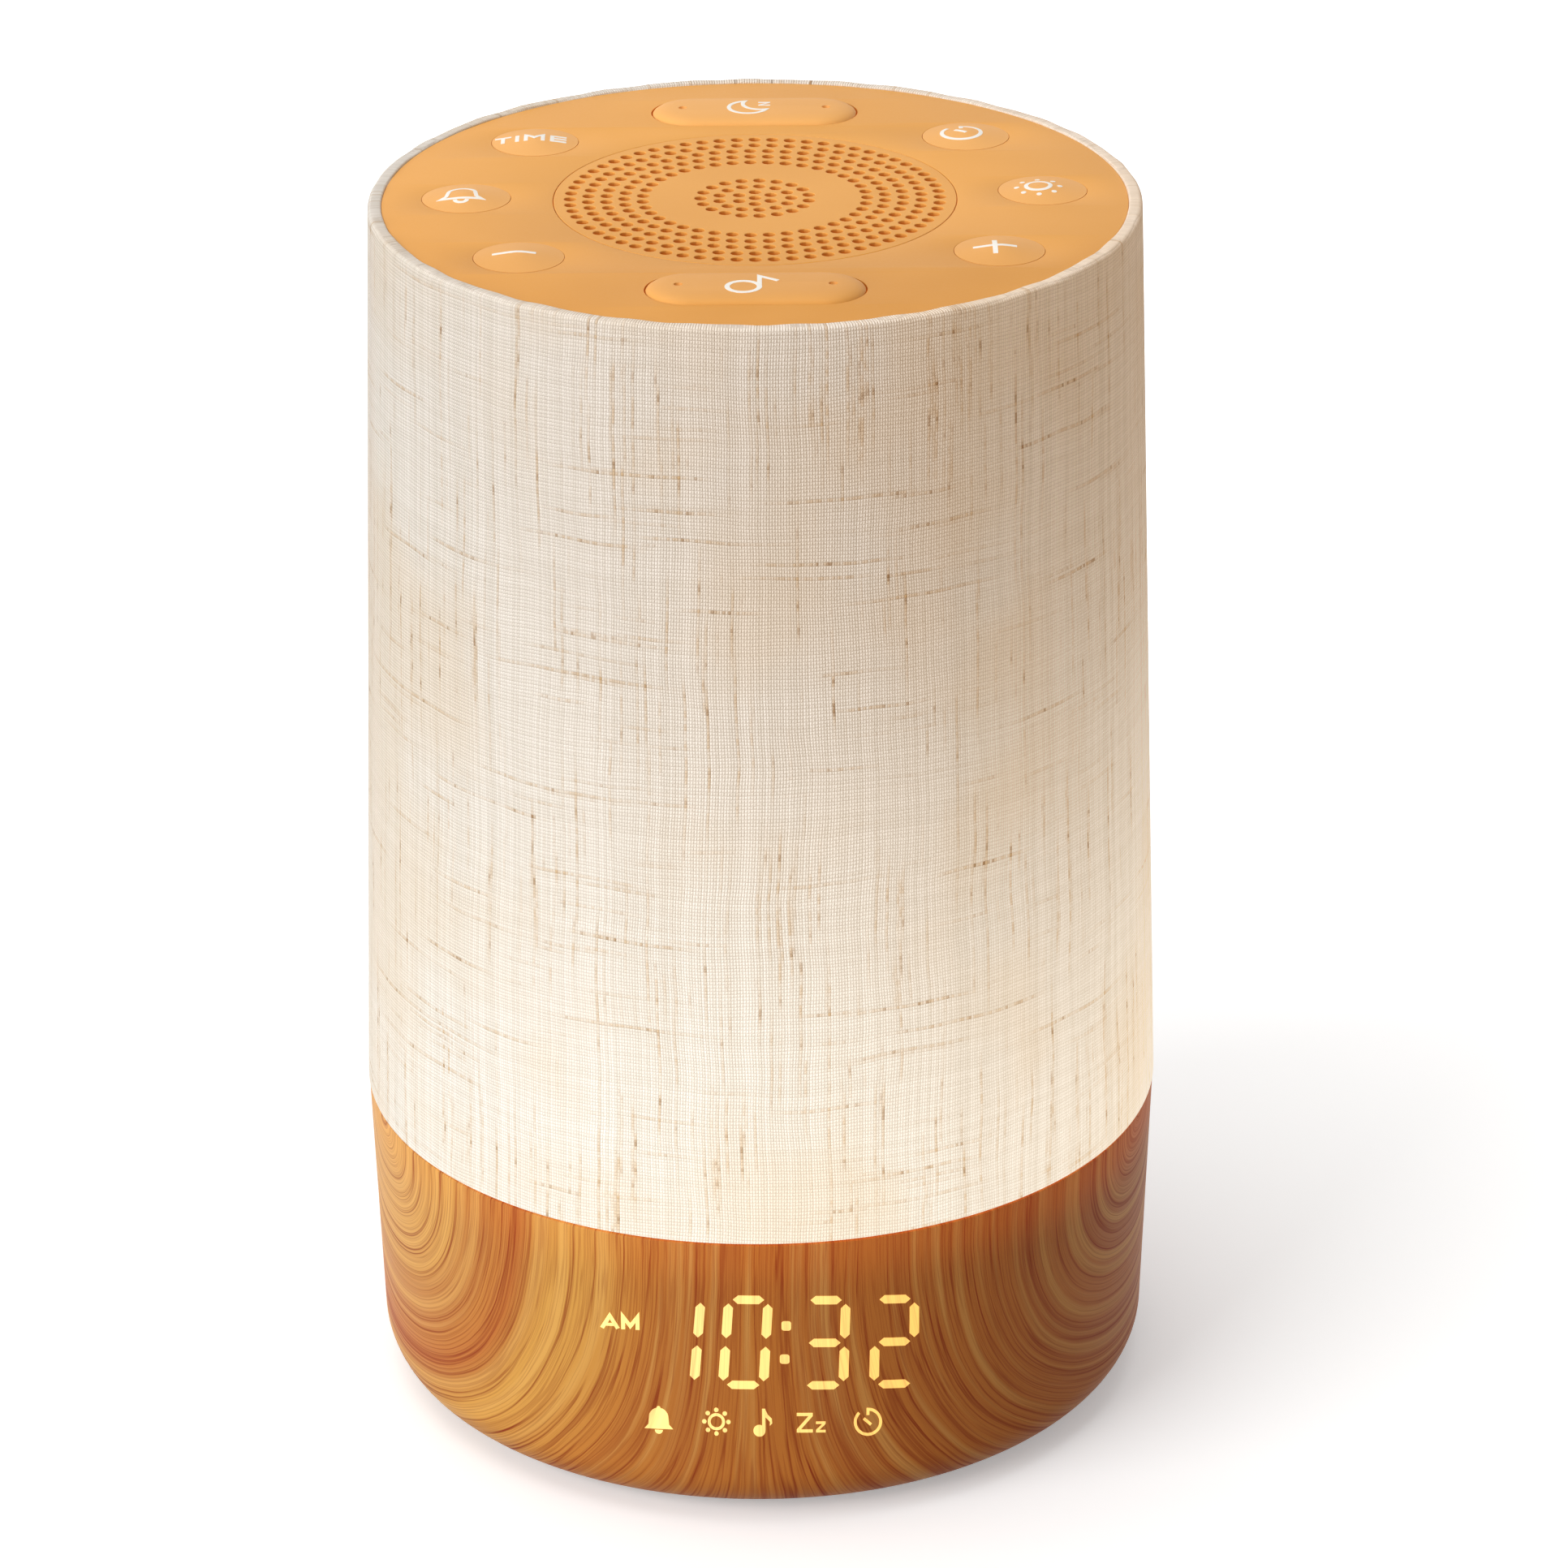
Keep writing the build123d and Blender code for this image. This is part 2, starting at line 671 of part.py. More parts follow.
# --- Base shell: the wood-grain wall, with the clock's pocket and the well of the power inlet --
corner_level = shell_foot + shell_corner
corner_turns = [radians(90 * step / corner_steps) for step in range(corner_steps + 1)]
outer_sections = [
    (corner_radius + shell_corner * sin(turn), corner_level - shell_corner * cos(turn))
    for turn in corner_turns
]
outer_sections.append((shell_top_radius, seam_height))
inner_foot = shell_foot + shell_wall
inner_sections = [
    (corner_radius, inner_foot),
    (inner_radius, corner_level),
    (shell_top_radius - shell_wall, seam_height),
]
with BuildPart() as base_shell:
    for radius, level in outer_sections:
        with BuildSketch(Plane.XY.offset(level)):
            RegularPolygon(radius, wall_sides)
    loft(ruled=True)
    for radius, level in inner_sections:
        with BuildSketch(Plane.XY.offset(level)):
            RegularPolygon(radius, wall_sides)
    loft(ruled=True, mode=Mode.SUBTRACT)
    with BuildSketch(Plane.XY.offset(shell_foot)):
        RegularPolygon(lid_radius, wall_sides)
    extrude(amount=shell_wall, mode=Mode.SUBTRACT)
    with BuildSketch(Plane.XY.offset(deck_under)):
        with Locations(*polars(shell_radius(deck_under) - shell_wall, rib_angles)):
            Rectangle(rib_reach * 2, rib_width)
        RegularPolygon(
            shell_radius(deck_under - rib_height) - shell_wall / 2, wall_sides, mode=Mode.INTERSECT
        )
    extrude(amount=-rib_height)
    with BuildSketch(upright(270 - display_angle)):
        with BuildLine():
            Polyline(
                (display_back, display_low),
                (shell_radius(display_low) - display_skin, display_low),
                (shell_radius(display_high) - display_skin, display_high),
                (display_back, display_high),
                close=True,
            )
        make_face()
    revolve(axis=Axis.Z, revolution_arc=2 * display_angle, mode=Mode.SUBTRACT)
    with BuildSketch(Plane.XZ.offset(-well_floor)):
        with Locations((0, socket_middle)):
            Rectangle(well_width + 2 * shroud_wall, well_height + 2 * shroud_wall)
    extrude(amount=-(well_depth - shell_wall / 2))
    with BuildSketch(Plane.XZ.offset(-well_floor)):
        with Locations((0, socket_middle)):
            Rectangle(well_width, well_height)
    extrude(amount=-2 * well_depth, mode=Mode.SUBTRACT)
    with BuildSketch(Plane.XZ.offset(-well_floor)):
        with Locations((0, socket_middle)):
            Rectangle(well_width + 2 * shroud_wall, well_height + 2 * shroud_wall)
            Rectangle(
                socket_size[0] + 2 * part_gap, socket_size[2] + 2 * part_gap, mode=Mode.SUBTRACT
            )
    extrude(amount=shroud_floor)
save("base_shell", base_shell.part)

# --- Bottom cover with its feet and screws -----------------------------------------------------
board_front = -display_back + board_thickness
board_rear = well_floor - board_rear_gap
board_middle = (board_front + main_board_rear) / 2
board_hole_x = main_board_width - 2 * board_screw_inset
board_hole_y = main_board_rear - board_front - 2 * board_screw_inset
with BuildPart() as bottom_cover:
    with BuildSketch(Plane.XY.offset(shell_foot)):
        RegularPolygon(lid_radius - part_gap, wall_sides)
        with Locations(*post_places):
            RegularPolygon(base_screw_radius + bore_gap, small_sides, mode=Mode.SUBTRACT)
    extrude(amount=cover_thickness)
    with BuildSketch(Plane.XY.offset(shell_foot)):
        with Locations(*post_places):
            RegularPolygon(base_head_radius + bore_gap, small_sides)
    extrude(amount=base_head, mode=Mode.SUBTRACT)
    with BuildSketch(Plane.XY.offset(cover_top)):
        with Locations((0, board_middle)):
            with GridLocations(board_hole_x, board_hole_y, 2, 2):
                RegularPolygon(standoff_radius, small_sides)
    extrude(amount=main_board_rise)
    with BuildSketch(Plane.XY.offset(main_board_under)):
        with Locations((0, board_middle)):
            with GridLocations(board_hole_x, board_hole_y, 2, 2):
                RegularPolygon(screw_radius, small_sides)
    extrude(amount=-main_board_rise, mode=Mode.SUBTRACT)
save("bottom_cover", bottom_cover.part)

with BuildPart() as feet:
    with BuildSketch():
        with PolarLocations(foot_ring_radius, foot_count):
            RegularPolygon(foot_radius, small_sides)
    extrude(amount=foot_thickness)
save("feet", feet.part)

with BuildPart() as base_screws:
    with BuildSketch(Plane.XY.offset(shell_foot)):
        with Locations(*post_places):
            RegularPolygon(base_head_radius, small_sides)
    extrude(amount=base_head)
    with BuildSketch(Plane.XY.offset(shell_foot + base_head)):
        with Locations(*post_places):
            RegularPolygon(base_screw_radius, small_sides)
    extrude(amount=base_screw_length)
save("base_screws", base_screws.part)

# --- Main board with its parts -----------------------------------------------------------------
with BuildPart() as main_board:
    with BuildSketch(Plane.XY.offset(main_board_under)):
        with Locations((0, board_middle)):
            Rectangle(main_board_width, main_board_rear - board_front)
            with GridLocations(board_hole_x, board_hole_y, 2, 2):
                RegularPolygon(screw_radius + bore_gap, small_sides, mode=Mode.SUBTRACT)
        with Locations((0, board_rear)):
            Rectangle(
                board_tongue_width, board_rear - board_middle, align=(Align.CENTER, Align.MAX)
            )
    extrude(amount=board_thickness)
save("main_board", main_board.part)

with BuildPart() as board_screws:
    with BuildSketch(Plane.XY.offset(main_board_top)):
        with Locations((0, board_middle)):
            with GridLocations(board_hole_x, board_hole_y, 2, 2):
                RegularPolygon(screw_head_radius, small_sides)
    extrude(amount=screw_head)
    with BuildSketch(Plane.XY.offset(main_board_top)):
        with Locations((0, board_middle)):
            with GridLocations(board_hole_x, board_hole_y, 2, 2):
                RegularPolygon(screw_radius, small_sides)
    extrude(amount=-board_screw_length)
save("board_screws", board_screws.part)

with BuildPart() as board_parts:
    with BuildSketch(Plane.XY.offset(main_board_top)):
        with Locations((0, chip_y)):
            Rectangle(chip_size[0], chip_size[1])
        with Locations((0, amplifier_y)):
            Rectangle(amplifier_size[0], amplifier_size[1])
    extrude(amount=chip_size[2])
    with BuildSketch(Plane.XY.offset(main_board_top)):
        with Locations((0, board_middle)):
            with GridLocations(*capacitor_spread, 2, 2):
                RegularPolygon(capacitor_radius, small_sides)
    extrude(amount=capacitor_height)
    with BuildSketch(Plane.XY.offset(main_board_top)):
        with Locations((0, ribbon_y)):
            Rectangle(connector_size[0], connector_size[1])
    extrude(amount=connector_size[2])
save("board_parts", board_parts.part)

with BuildPart() as usb_socket:
    with BuildSketch(Plane.XY.offset(main_board_top)):
        with Locations((0, well_floor)):
            Rectangle(socket_size[0], socket_size[1], align=(Align.CENTER, Align.MAX))
    extrude(amount=socket_size[2])
    with BuildSketch(Plane.XZ.offset(-well_floor)):
        with Locations((0, socket_middle)):
            Rectangle(socket_size[0] - 2 * socket_wall, socket_size[2] - 2 * socket_wall)
    extrude(amount=socket_size[1] - socket_back, mode=Mode.SUBTRACT)
    with BuildSketch(Plane.XZ.offset(-(well_floor - socket_size[1] + socket_back))):
        with Locations((0, socket_middle)):
            Rectangle(tongue_size[0], tongue_size[2])
    extrude(amount=-tongue_size[1])
save("usb_socket", usb_socket.part)

# --- Clock: a light guide block behind the thin wall, on an upright board ----------------------
digit_places = [
    (colon_x + side * (colon_width / 2 + digit_pitch * step), digit_middle)
    for side in (-1, 1)
    for step in (0.5, 1.5)
]
icon_places = [(icon_pitch * step, icon_middle) for step in (-2, -1, 0, 1, 2)]
guide_front = display_skin + display_gap
with BuildPart() as display_block:
    with BuildSketch(upright(270 - guide_angle)):
        with BuildLine():
            Polyline(
                (0, display_low + display_gap),
                (shell_radius(display_low) - guide_front, display_low + display_gap),
                (shell_radius(display_high) - guide_front, display_high - display_gap),
                (0, display_high - display_gap),
                close=True,
            )
        make_face()
    revolve(axis=Axis.Z, revolution_arc=2 * guide_angle)
    split(bisect_by=Plane.XZ.offset(display_back), keep=Keep.TOP)
    with BuildSketch(Plane.XZ.offset(display_back)):
        with Locations(*digit_places):
            Rectangle(digit_width, digit_height)
        with Locations((meridiem_x, digit_middle)):
            Rectangle(meridiem_width, meridiem_height)
        with Locations(*icon_places):
            Rectangle(icon_width, icon_height)
    extrude(amount=shell_top_radius, mode=Mode.SUBTRACT)
save("display_block", display_block.part)

with BuildPart() as display_board:
    with BuildSketch(Plane.XZ.offset(display_back)):
        with Locations((0, (display_low + display_high) / 2)):
            Rectangle(2 * display_back * sin(radians(display_angle)), display_high - display_low)
    extrude(amount=-board_thickness)
save("display_board", display_board.part)

# --- Ribbon from the key board down the column to the main board -------------------------------
with BuildPart() as key_ribbon:
    with BuildSketch(Plane.YZ):
        with BuildLine():
            FilletPolyline(
                (ribbon_outer, key_board_under),
                (ribbon_outer, slot_top),
                (ribbon_y, slot_top - ribbon_width),
                (ribbon_y, main_board_top + connector_size[2]),
                radius=ribbon_bend,
            )
        trace(line_width=ribbon_thickness)
    extrude(amount=ribbon_width / 2, both=True)
save("key_ribbon", key_ribbon.part)
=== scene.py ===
import math

import bpy
from mathutils import Matrix, Vector


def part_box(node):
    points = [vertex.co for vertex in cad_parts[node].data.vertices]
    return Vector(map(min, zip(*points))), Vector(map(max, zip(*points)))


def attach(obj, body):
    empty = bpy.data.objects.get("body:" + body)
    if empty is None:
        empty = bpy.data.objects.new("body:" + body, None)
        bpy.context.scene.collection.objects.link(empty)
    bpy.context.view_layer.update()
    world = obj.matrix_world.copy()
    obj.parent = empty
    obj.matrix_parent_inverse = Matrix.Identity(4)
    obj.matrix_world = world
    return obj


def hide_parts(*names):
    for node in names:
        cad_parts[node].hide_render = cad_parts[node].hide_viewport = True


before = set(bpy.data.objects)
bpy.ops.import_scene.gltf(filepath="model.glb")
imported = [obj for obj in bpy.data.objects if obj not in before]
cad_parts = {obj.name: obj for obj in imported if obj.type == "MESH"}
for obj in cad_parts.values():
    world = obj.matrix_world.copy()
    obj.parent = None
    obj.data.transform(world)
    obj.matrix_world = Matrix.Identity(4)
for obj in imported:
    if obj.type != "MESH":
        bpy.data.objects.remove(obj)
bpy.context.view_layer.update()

# Lengths in the making of pieces are in millimetres, and go to Blender in metres.
MM = 0.001
MERGE = 1e-6  # points nearer than this many metres are one
TURN_STEPS = 192  # round the body
KEY_STEPS = 64  # round a key or a foot

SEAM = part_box("base_shell")[1].z / MM
HEM, RIM = (corner.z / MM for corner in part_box("fabric_cover"))
PANEL_UNDER, PANEL_TOP = (corner.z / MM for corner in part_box("speaker_grille"))
PIN_LEVEL = sum(corner.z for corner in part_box("rocker_pins")) / (2 * MM)
COVER_FOOT = 51.0  # outer radius of the cloth at the seam
COVER_TOP = 47.3  # and at the rim
CLOTH = 0.45
RIM_INNER = 45.7  # radius of the turned-in edge of the cloth
SHELL_TOP = 50.9  # outer radius of the base at the seam
SHELL_LOW = 49.8  # and above its rounded lower corner
SHELL_CORNER = 6.5
SHELL_WALL = 2.2
SHELL_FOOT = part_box("base_shell")[0].z / MM
SHELL_ROWS = (14, 21, 28, 35)  # heights of the rings of points up the wall
SHELL_MEAN = 50.0  # radius by which the wood figure turns angles into lengths
LID_RADIUS = SHELL_LOW - SHELL_CORNER - 0.6
PRINT_THICKNESS = 0.03  # a print stands this far over its surface, and goes as far under it

ROUND_KEYS = ("power", "light", "plus", "time", "alarm", "minus")
ROCKERS = ("sleep", "sound")


# --- Shader arithmetic ----------------------------------------------------------------------------
class Value:
    """A number on a shader's socket, which takes part in plain arithmetic."""

    def __init__(self, finish, socket):
        self.finish = finish
        self.socket = socket

    def math(self, operation, *others):
        sockets = dict(enumerate((self, *others)))
        return self.finish.node("Math", {"operation": operation}, sockets)

    def __add__(self, other):
        return self.math("ADD", other)

    def __sub__(self, other):
        return self.math("SUBTRACT", other)

    def __mul__(self, other):
        return self.math("MULTIPLY", other)

    def __truediv__(self, other):
        return self.math("DIVIDE", other)

    def __rsub__(self, other):
        return (self * -1) + other

    def __neg__(self):
        return self * -1

    __radd__ = __add__
    __rmul__ = __mul__

    def between(self, low, high):
        """0 below low and 1 above high, with a soft step from one to the other."""
        sockets = {"Value": self, "From Min": low, "From Max": high}
        return self.finish.node("MapRange", {"interpolation_type": "SMOOTHSTEP"}, sockets)


class Finish:
    """A material under construction."""

    def __init__(self, name, **constants):
        self.material = bpy.data.materials.new(name)
        self.material.use_nodes = True
        self.tree = self.material.node_tree
        self.surface = self.tree.nodes["Principled BSDF"]
        for name, number in constants.items():
            socket = name.replace("_", " ").title().replace("Ior", "IOR")
            self.surface.inputs[socket].default_value = number

    def node(self, kind, settings, sockets, output=0):
        """Add a node, apply its settings, feed its sockets, and return one of its outputs."""
        made = self.tree.nodes.new("ShaderNode" + kind)
        for name, setting in settings.items():
            setattr(made, name, setting)
        for name, value in sockets.items():
            self.feed(made.inputs[name], value)
        return Value(self, made.outputs[output])

    def feed(self, socket, value):
        """Link a value to a socket, or set the socket to a plain number or colour."""
        if isinstance(value, Value):
            self.tree.links.new(value.socket, socket)
        else:
            socket.default_value = value

    def place(self):
        """Object coordinates in millimetres."""
        coordinates = self.node("TexCoord", {}, {}, "Object")
        return self.node("VectorMath", {"operation": "SCALE"}, {0: coordinates, "Scale": 1 / MM})

    def split(self, vector):
        parts = self.node("SeparateXYZ", {}, {0: vector})
        outputs = parts.socket.node.outputs
        return [Value(self, outputs[axis]) for axis in "XYZ"]

    def point(self, x, y, z):
        return self.node("CombineXYZ", {}, {"X": x, "Y": y, "Z": z})

    def noise(self, vector, scale=1.0, detail=2.0, roughness=0.5):
        sockets = {"Vector": vector, "Scale": scale, "Detail": detail, "Roughness": roughness}
        return self.node("TexNoise", {}, sockets)

    def chance(self, number):
        """A random number that is the same wherever the given one is."""
        return self.node("TexWhiteNoise", {"noise_dimensions": "1D"}, {"W": number})

    def blend(self, share, first, second, blend_type="MIX"):
        """A colour between two, by share."""
        mixed = self.node("Mix", {"data_type": "RGBA", "blend_type": blend_type}, {0: share}, 2)
        for index, color in ((6, first), (7, second)):
            self.feed(mixed.socket.node.inputs[index], color)
        return mixed

    def ramp(self, value, stops):
        """A colour by value, from (place, colour) stops."""
        made = self.node("ValToRGB", {}, {0: value})
        band = made.socket.node.color_ramp
        while len(band.elements) < len(stops):
            band.elements.new(0.5)
        for element, (position, color) in zip(band.elements, stops):
            element.position, element.color = position, color
        return made

    def bump(self, height, distance, strength=1.0):
        sockets = {"Height": height, "Distance": distance * MM, "Strength": strength}
        self.wear("Normal", self.node("Bump", {}, sockets))

    def wear(self, socket, value):
        """Let a value or colour that changes over the surface drive one of its sockets."""
        self.feed(self.surface.inputs[socket], value)


def rgb(red, green, blue):
    """A display colour of 0 to 255 as the linear colour that shaders take."""
    channels = [
        part / 12.92 if part <= 0.04045 else ((part + 0.055) / 1.055) ** 2.4
        for part in (red / 255, green / 255, blue / 255)
    ]
    return (*channels, 1.0)


# --- Finishes -------------------------------------------------------------------------------------
def round_body(finish):
    """Angle from the front, positive to the right, and the height in millimetres."""
    x, y, z = finish.split(finish.place())
    return x.math("ARCTAN2", -y), z


def painted_side_glow(angle):
    """Share of the painted glow round the body: most on the right, least on the left, so that the
    shaded right side looks warm.
    """
    return (angle + 0.2).math("SINE") * 0.31 + 0.68


WARP_THREADS = 900  # round the cloth
WEFT_PITCH = 0.43  # from one lying thread to the next
LAP_ANGLE = 3.09  # each side of the lap of the cloth at the back
GLOW_TOP = 158.0  # the painted glow grows from this height
GLOW_FOOT = 32.0  # down to this one


def linen_finish():
    """Plain woven linen with slub threads, with a painted glow of the lamps inside, strongest towards
    its foot and on the right, and painted shade between its threads.
    """
    finish = Finish("linen", roughness=0.9, emission_strength=1.12, specular_ior_level=0.2)
    place = finish.place()
    angle, height = round_body(finish)
    drift = finish.noise(place, 0.05, 2.0) * 5
    warp = angle * (WARP_THREADS / math.tau) + drift
    weft = height / WEFT_PITCH + drift
    warp_index, weft_index = warp.math("FLOOR"), weft.math("FLOOR")
    warp_arch = (warp * math.pi).math("SINE").math("ABSOLUTE")
    weft_arch = (weft * math.pi).math("SINE").math("ABSOLUTE")
    over = ((warp_index + weft_index) * math.pi).math("COSINE") * 0.5 + 0.5
    warp_over = over * warp_arch * weft_arch.math("SQRT")
    weft_over = (1 - over) * weft_arch * warp_arch.math("SQRT")
    thread = warp_over + weft_over
    warp_run = finish.noise(finish.point(warp_index * 0.6, height * 0.03, 3.0), 1.0, 2.0)
    weft_run = finish.noise(finish.point(weft_index * 0.6, angle * 1.5, 9.0), 1.0, 2.0)
    fleck = finish.noise(finish.point(warp_index * 7.3, weft_index * 0.21, 5.0), 1.0, 1.0)
    tone = finish.chance(warp_index) * 0.55 + finish.chance(weft_index + 0.5) * 0.25
    slub = warp_run.between(0.56, 0.69) * 0.85 + weft_run.between(0.60, 0.72) * 0.8
    patch = finish.noise(place, 0.035, 2.0).between(0.42, 0.66)
    color = finish.blend(tone, rgb(225, 222, 217), rgb(206, 201, 192))
    color = finish.blend(patch * 0.35, color, rgb(212, 194, 168))
    color = finish.blend(slub * (fleck.between(0.38, 0.6) * 0.5 + 0.2), color, rgb(190, 164, 128))
    color = finish.blend(slub * fleck.between(0.62, 0.70) * 0.7, color, rgb(140, 108, 74))
    # Painted shade in the spaces between the threads.
    painted_gap_shade = 1 - thread.between(0.0, 0.5)
    color = finish.blend(painted_gap_shade * 0.28, color, rgb(120, 98, 76))
    lap = 1 - (angle.math("ABSOLUTE") - LAP_ANGLE).math("ABSOLUTE").between(0.002, 0.006)
    color = finish.blend(lap * 0.4, color, rgb(120, 100, 78))
    # Painted glow of the lamps inside: strongest near the foot, fading towards the rim.
    painted_glow_share = height.between(GLOW_TOP, GLOW_FOOT).math("POWER", 1.3)
    glow = finish.blend(painted_glow_share, rgb(160, 124, 76), rgb(255, 241, 220))
    # Painted glow, stronger on the shaded right side.
    glow = finish.blend(painted_side_glow(angle), rgb(0, 0, 0), glow)
    finish.wear("Base Color", color)
    finish.wear("Emission Color", finish.blend(1.0, glow, color, "MULTIPLY"))
    finish.bump(thread + slub * 0.4 - lap, 0.1)
    return finish.material


def panel_finish(name, color, shade):
    """Satin moulded plastic, with painted shade that darkens its tone towards the front, and painted
    shade and a painted orange glow on the walls of its holes.
    """
    finish = Finish(name, roughness=0.5, specular_ior_level=0.3, emission_strength=1.0)
    place = finish.place()
    x, y, height = finish.split(place)
    # Painted shade and painted orange glow on the walls of holes and openings, below the top face.
    painted_hole_shade_glow = height.between(PANEL_TOP - 0.15, PANEL_TOP - 0.8)
    cloud = finish.noise(place, 0.05, 2.0)
    tooth = finish.noise(place, 3.2, 2.0)
    # Random clouding, and painted shade that darkens the tone towards the front.
    skin = finish.blend(cloud.between(0.3, 0.7) * 0.25 + y.between(5, -45) * 0.75, color, shade)
    finish.wear("Base Color", finish.blend(painted_hole_shade_glow * 0.8, skin, rgb(150, 66, 4)))
    finish.wear("Emission Color", finish.blend(painted_hole_shade_glow, rgb(0, 0, 0), rgb(140, 62, 0)))
    finish.wear("Roughness", tooth * 0.12 + 0.44)
    finish.bump(tooth, 0.01, 0.5)
    return finish.material


ARC_REACH = 62.5  # from the front, along the skin, to the middle of the arcs on either side
ARC_LEVEL = 41.0  # height of the middles of the arcs
ARC_POWER = 2.5  # above 2 makes the arcs squarer than circles
FIGURE_WIDTH = 120.0  # over which the tones of the figure are spread


def wood_figure(finish):
    """Colour and darkness of the grain: upright in front, nested arcs towards both sides, lighter on
    the left and darker towards the right, partly the film's own figure and partly painted shade.
    """
    angle, height = round_body(finish)
    place = finish.place()
    wander = finish.noise(place, 0.025, 1.0) - 0.5
    ripple = finish.noise(place, 0.15, 2.0) - 0.5
    down = (ARC_LEVEL - height).math("ABSOLUTE").math("POWER", ARC_POWER)
    left, right = (
        (down + (ARC_REACH + angle * side).math("ABSOLUTE").math("POWER", ARC_POWER))
        .math("POWER", 1 / ARC_POWER) - ARC_REACH
        for side in (SHELL_MEAN, -SHELL_MEAN)
    )
    streak = left - (left + right) * angle.between(-0.5, 0.5) + wander * 4 + ripple * 0.3
    # Light on the left, darker towards the right: partly the film's figure, partly painted shade of the
    # right side.
    color = finish.ramp(
        streak / FIGURE_WIDTH + 0.5,
        [
            (0.0, rgb(222, 166, 88)),
            (0.14, rgb(216, 158, 80)),
            (0.2, rgb(200, 130, 60)),
            (0.235, rgb(192, 112, 50)),
            (0.262, rgb(220, 162, 78)),
            (0.33, rgb(214, 152, 72)),
            (0.37, rgb(200, 128, 56)),
            (0.5, rgb(194, 116, 48)),
            (0.8, rgb(188, 110, 48)),
            (1.0, rgb(194, 120, 56)),
        ],
    )
    along = height * 0.01
    broad = finish.noise(finish.point(streak * 0.16, along, 1.0), 1.0, 2.0)
    middle = finish.noise(finish.point(streak * 0.5, along, 5.0), 1.0, 3.0)
    fine = finish.noise(finish.point(streak * 1.9, along * 3, 9.0), 1.0, 2.0)
    hair = finish.noise(finish.point(streak * 5.0, along * 6, 2.0), 1.0, 2.0)
    color = finish.blend(broad.between(0.56, 0.36) * 0.4, color, rgb(172, 96, 46))
    color = finish.blend(middle.between(0.5, 0.66) * 0.4, color, rgb(234, 180, 100))
    line = 1 - (middle - 0.46).math("ABSOLUTE").between(0.0, 0.03)
    thin = 1 - (fine - 0.5).math("ABSOLUTE").between(0.0, 0.06)
    dark = line * 0.5 + thin * 0.3 + hair.between(0.5, 0.68) * 0.2
    color = finish.blend(dark, color, rgb(136, 42, 14))
    return color, dark


def wood_finish():
    """A satin wood-grain film, with a painted glow of lamp light over its upper edge, stronger on the
    right.
    """
    finish = Finish("wood_grain", roughness=0.45, emission_strength=1.0, specular_ior_level=0.1)
    angle, height = round_body(finish)
    color, dark = wood_figure(finish)
    # Painted glow of lamp light just below the seam.
    painted_edge_glow = height.between(SEAM - 9, SEAM) * painted_side_glow(angle)
    finish.wear("Base Color", color)
    finish.wear("Emission Color", finish.blend(painted_edge_glow * 0.6, rgb(0, 0, 0), rgb(120, 44, 10)))
    finish.wear("Roughness", dark * 0.15 + 0.42)
    finish.bump(1 - dark, 0.012, 0.6)
    return finish.material


def clock_glow_finish():
    """Light of the clock through the wood-grain film."""
    finish = Finish("clock_glow", roughness=0.5, emission_strength=1.0)
    color, dark = wood_figure(finish)
    finish.wear("Base Color", color)
    angle, height = round_body(finish)
    light = finish.blend(angle.between(-0.3, 0.5), rgb(246, 238, 150), rgb(240, 200, 98))
    finish.wear("Emission Color", finish.blend(dark * 0.5, light, rgb(226, 160, 80)))
    return finish.material


def print_finish():
    """White screen print."""
    finish = Finish("white_print", roughness=0.5)
    cloud = finish.noise(finish.place(), 1.5, 2.0)
    finish.wear("Base Color", finish.blend(cloud, rgb(252, 248, 240), rgb(244, 236, 224)))
    return finish.material


def milk_finish():
    """Milky diffuser, with a painted amber glow along the uncovered strip at the seam."""
    finish = Finish("diffuser", roughness=0.45, emission_strength=1.0)
    x, y, height = finish.split(finish.place())
    # Painted glow along the uncovered strip at the seam.
    painted_seam_glow = height.between(SEAM + 1.2, SEAM + 0.4)
    cloud = finish.noise(finish.place(), 0.08, 2.0)
    finish.wear("Base Color", finish.blend(cloud, rgb(240, 236, 226), rgb(230, 224, 212)))
    finish.wear("Emission Color", finish.blend(painted_seam_glow, rgb(0, 0, 0), rgb(214, 92, 34)))
    return finish.material


def board_finish():
    """Green solder mask with faint copper tracks under it."""
    finish = Finish("circuit_board", roughness=0.32, specular_ior_level=0.6)
    x, y, z = finish.split(finish.place())
    grid = (x * 2.2 + finish.noise(finish.place(), 0.3, 1.0) * 2).math("SINE")
    cross = (y * 2.2 + finish.noise(finish.place(), 0.35, 1.0) * 2).math("SINE")
    track = grid.math("MAXIMUM", cross).between(0.75, 0.9)
    finish.wear("Base Color", finish.blend(track, rgb(22, 82, 48), rgb(40, 112, 66)))
    finish.bump(track, 0.03)
    return finish.material


def moulded_finish(name, color, shade, roughness=0.5, grain=1.2):
    """Moulded plastic or rubber with a fine spark-eroded grain."""
    finish = Finish(name, roughness=roughness)
    place = finish.place()
    grains = finish.noise(place, grain, 3.0)
    cloud = finish.noise(place, 0.06, 2.0)
    finish.wear("Base Color", finish.blend(cloud, color, shade))
    finish.wear("Roughness", grains * 0.2 + (roughness - 0.1))
    finish.bump(grains, 0.02, 0.6)
    return finish.material


def metal_finish(name, color, shade, roughness=0.3):
    """Plated metal with fine scratches."""
    finish = Finish(name, roughness=roughness, metallic=1.0)
    x, y, z = finish.split(finish.place())
    scratch = finish.noise(finish.point(x * 0.4, y * 9, z * 9), 1.0, 3.0)
    finish.wear("Base Color", finish.blend(scratch, color, shade))
    finish.wear("Roughness", scratch * 0.2 + (roughness - 0.1))
    return finish.material


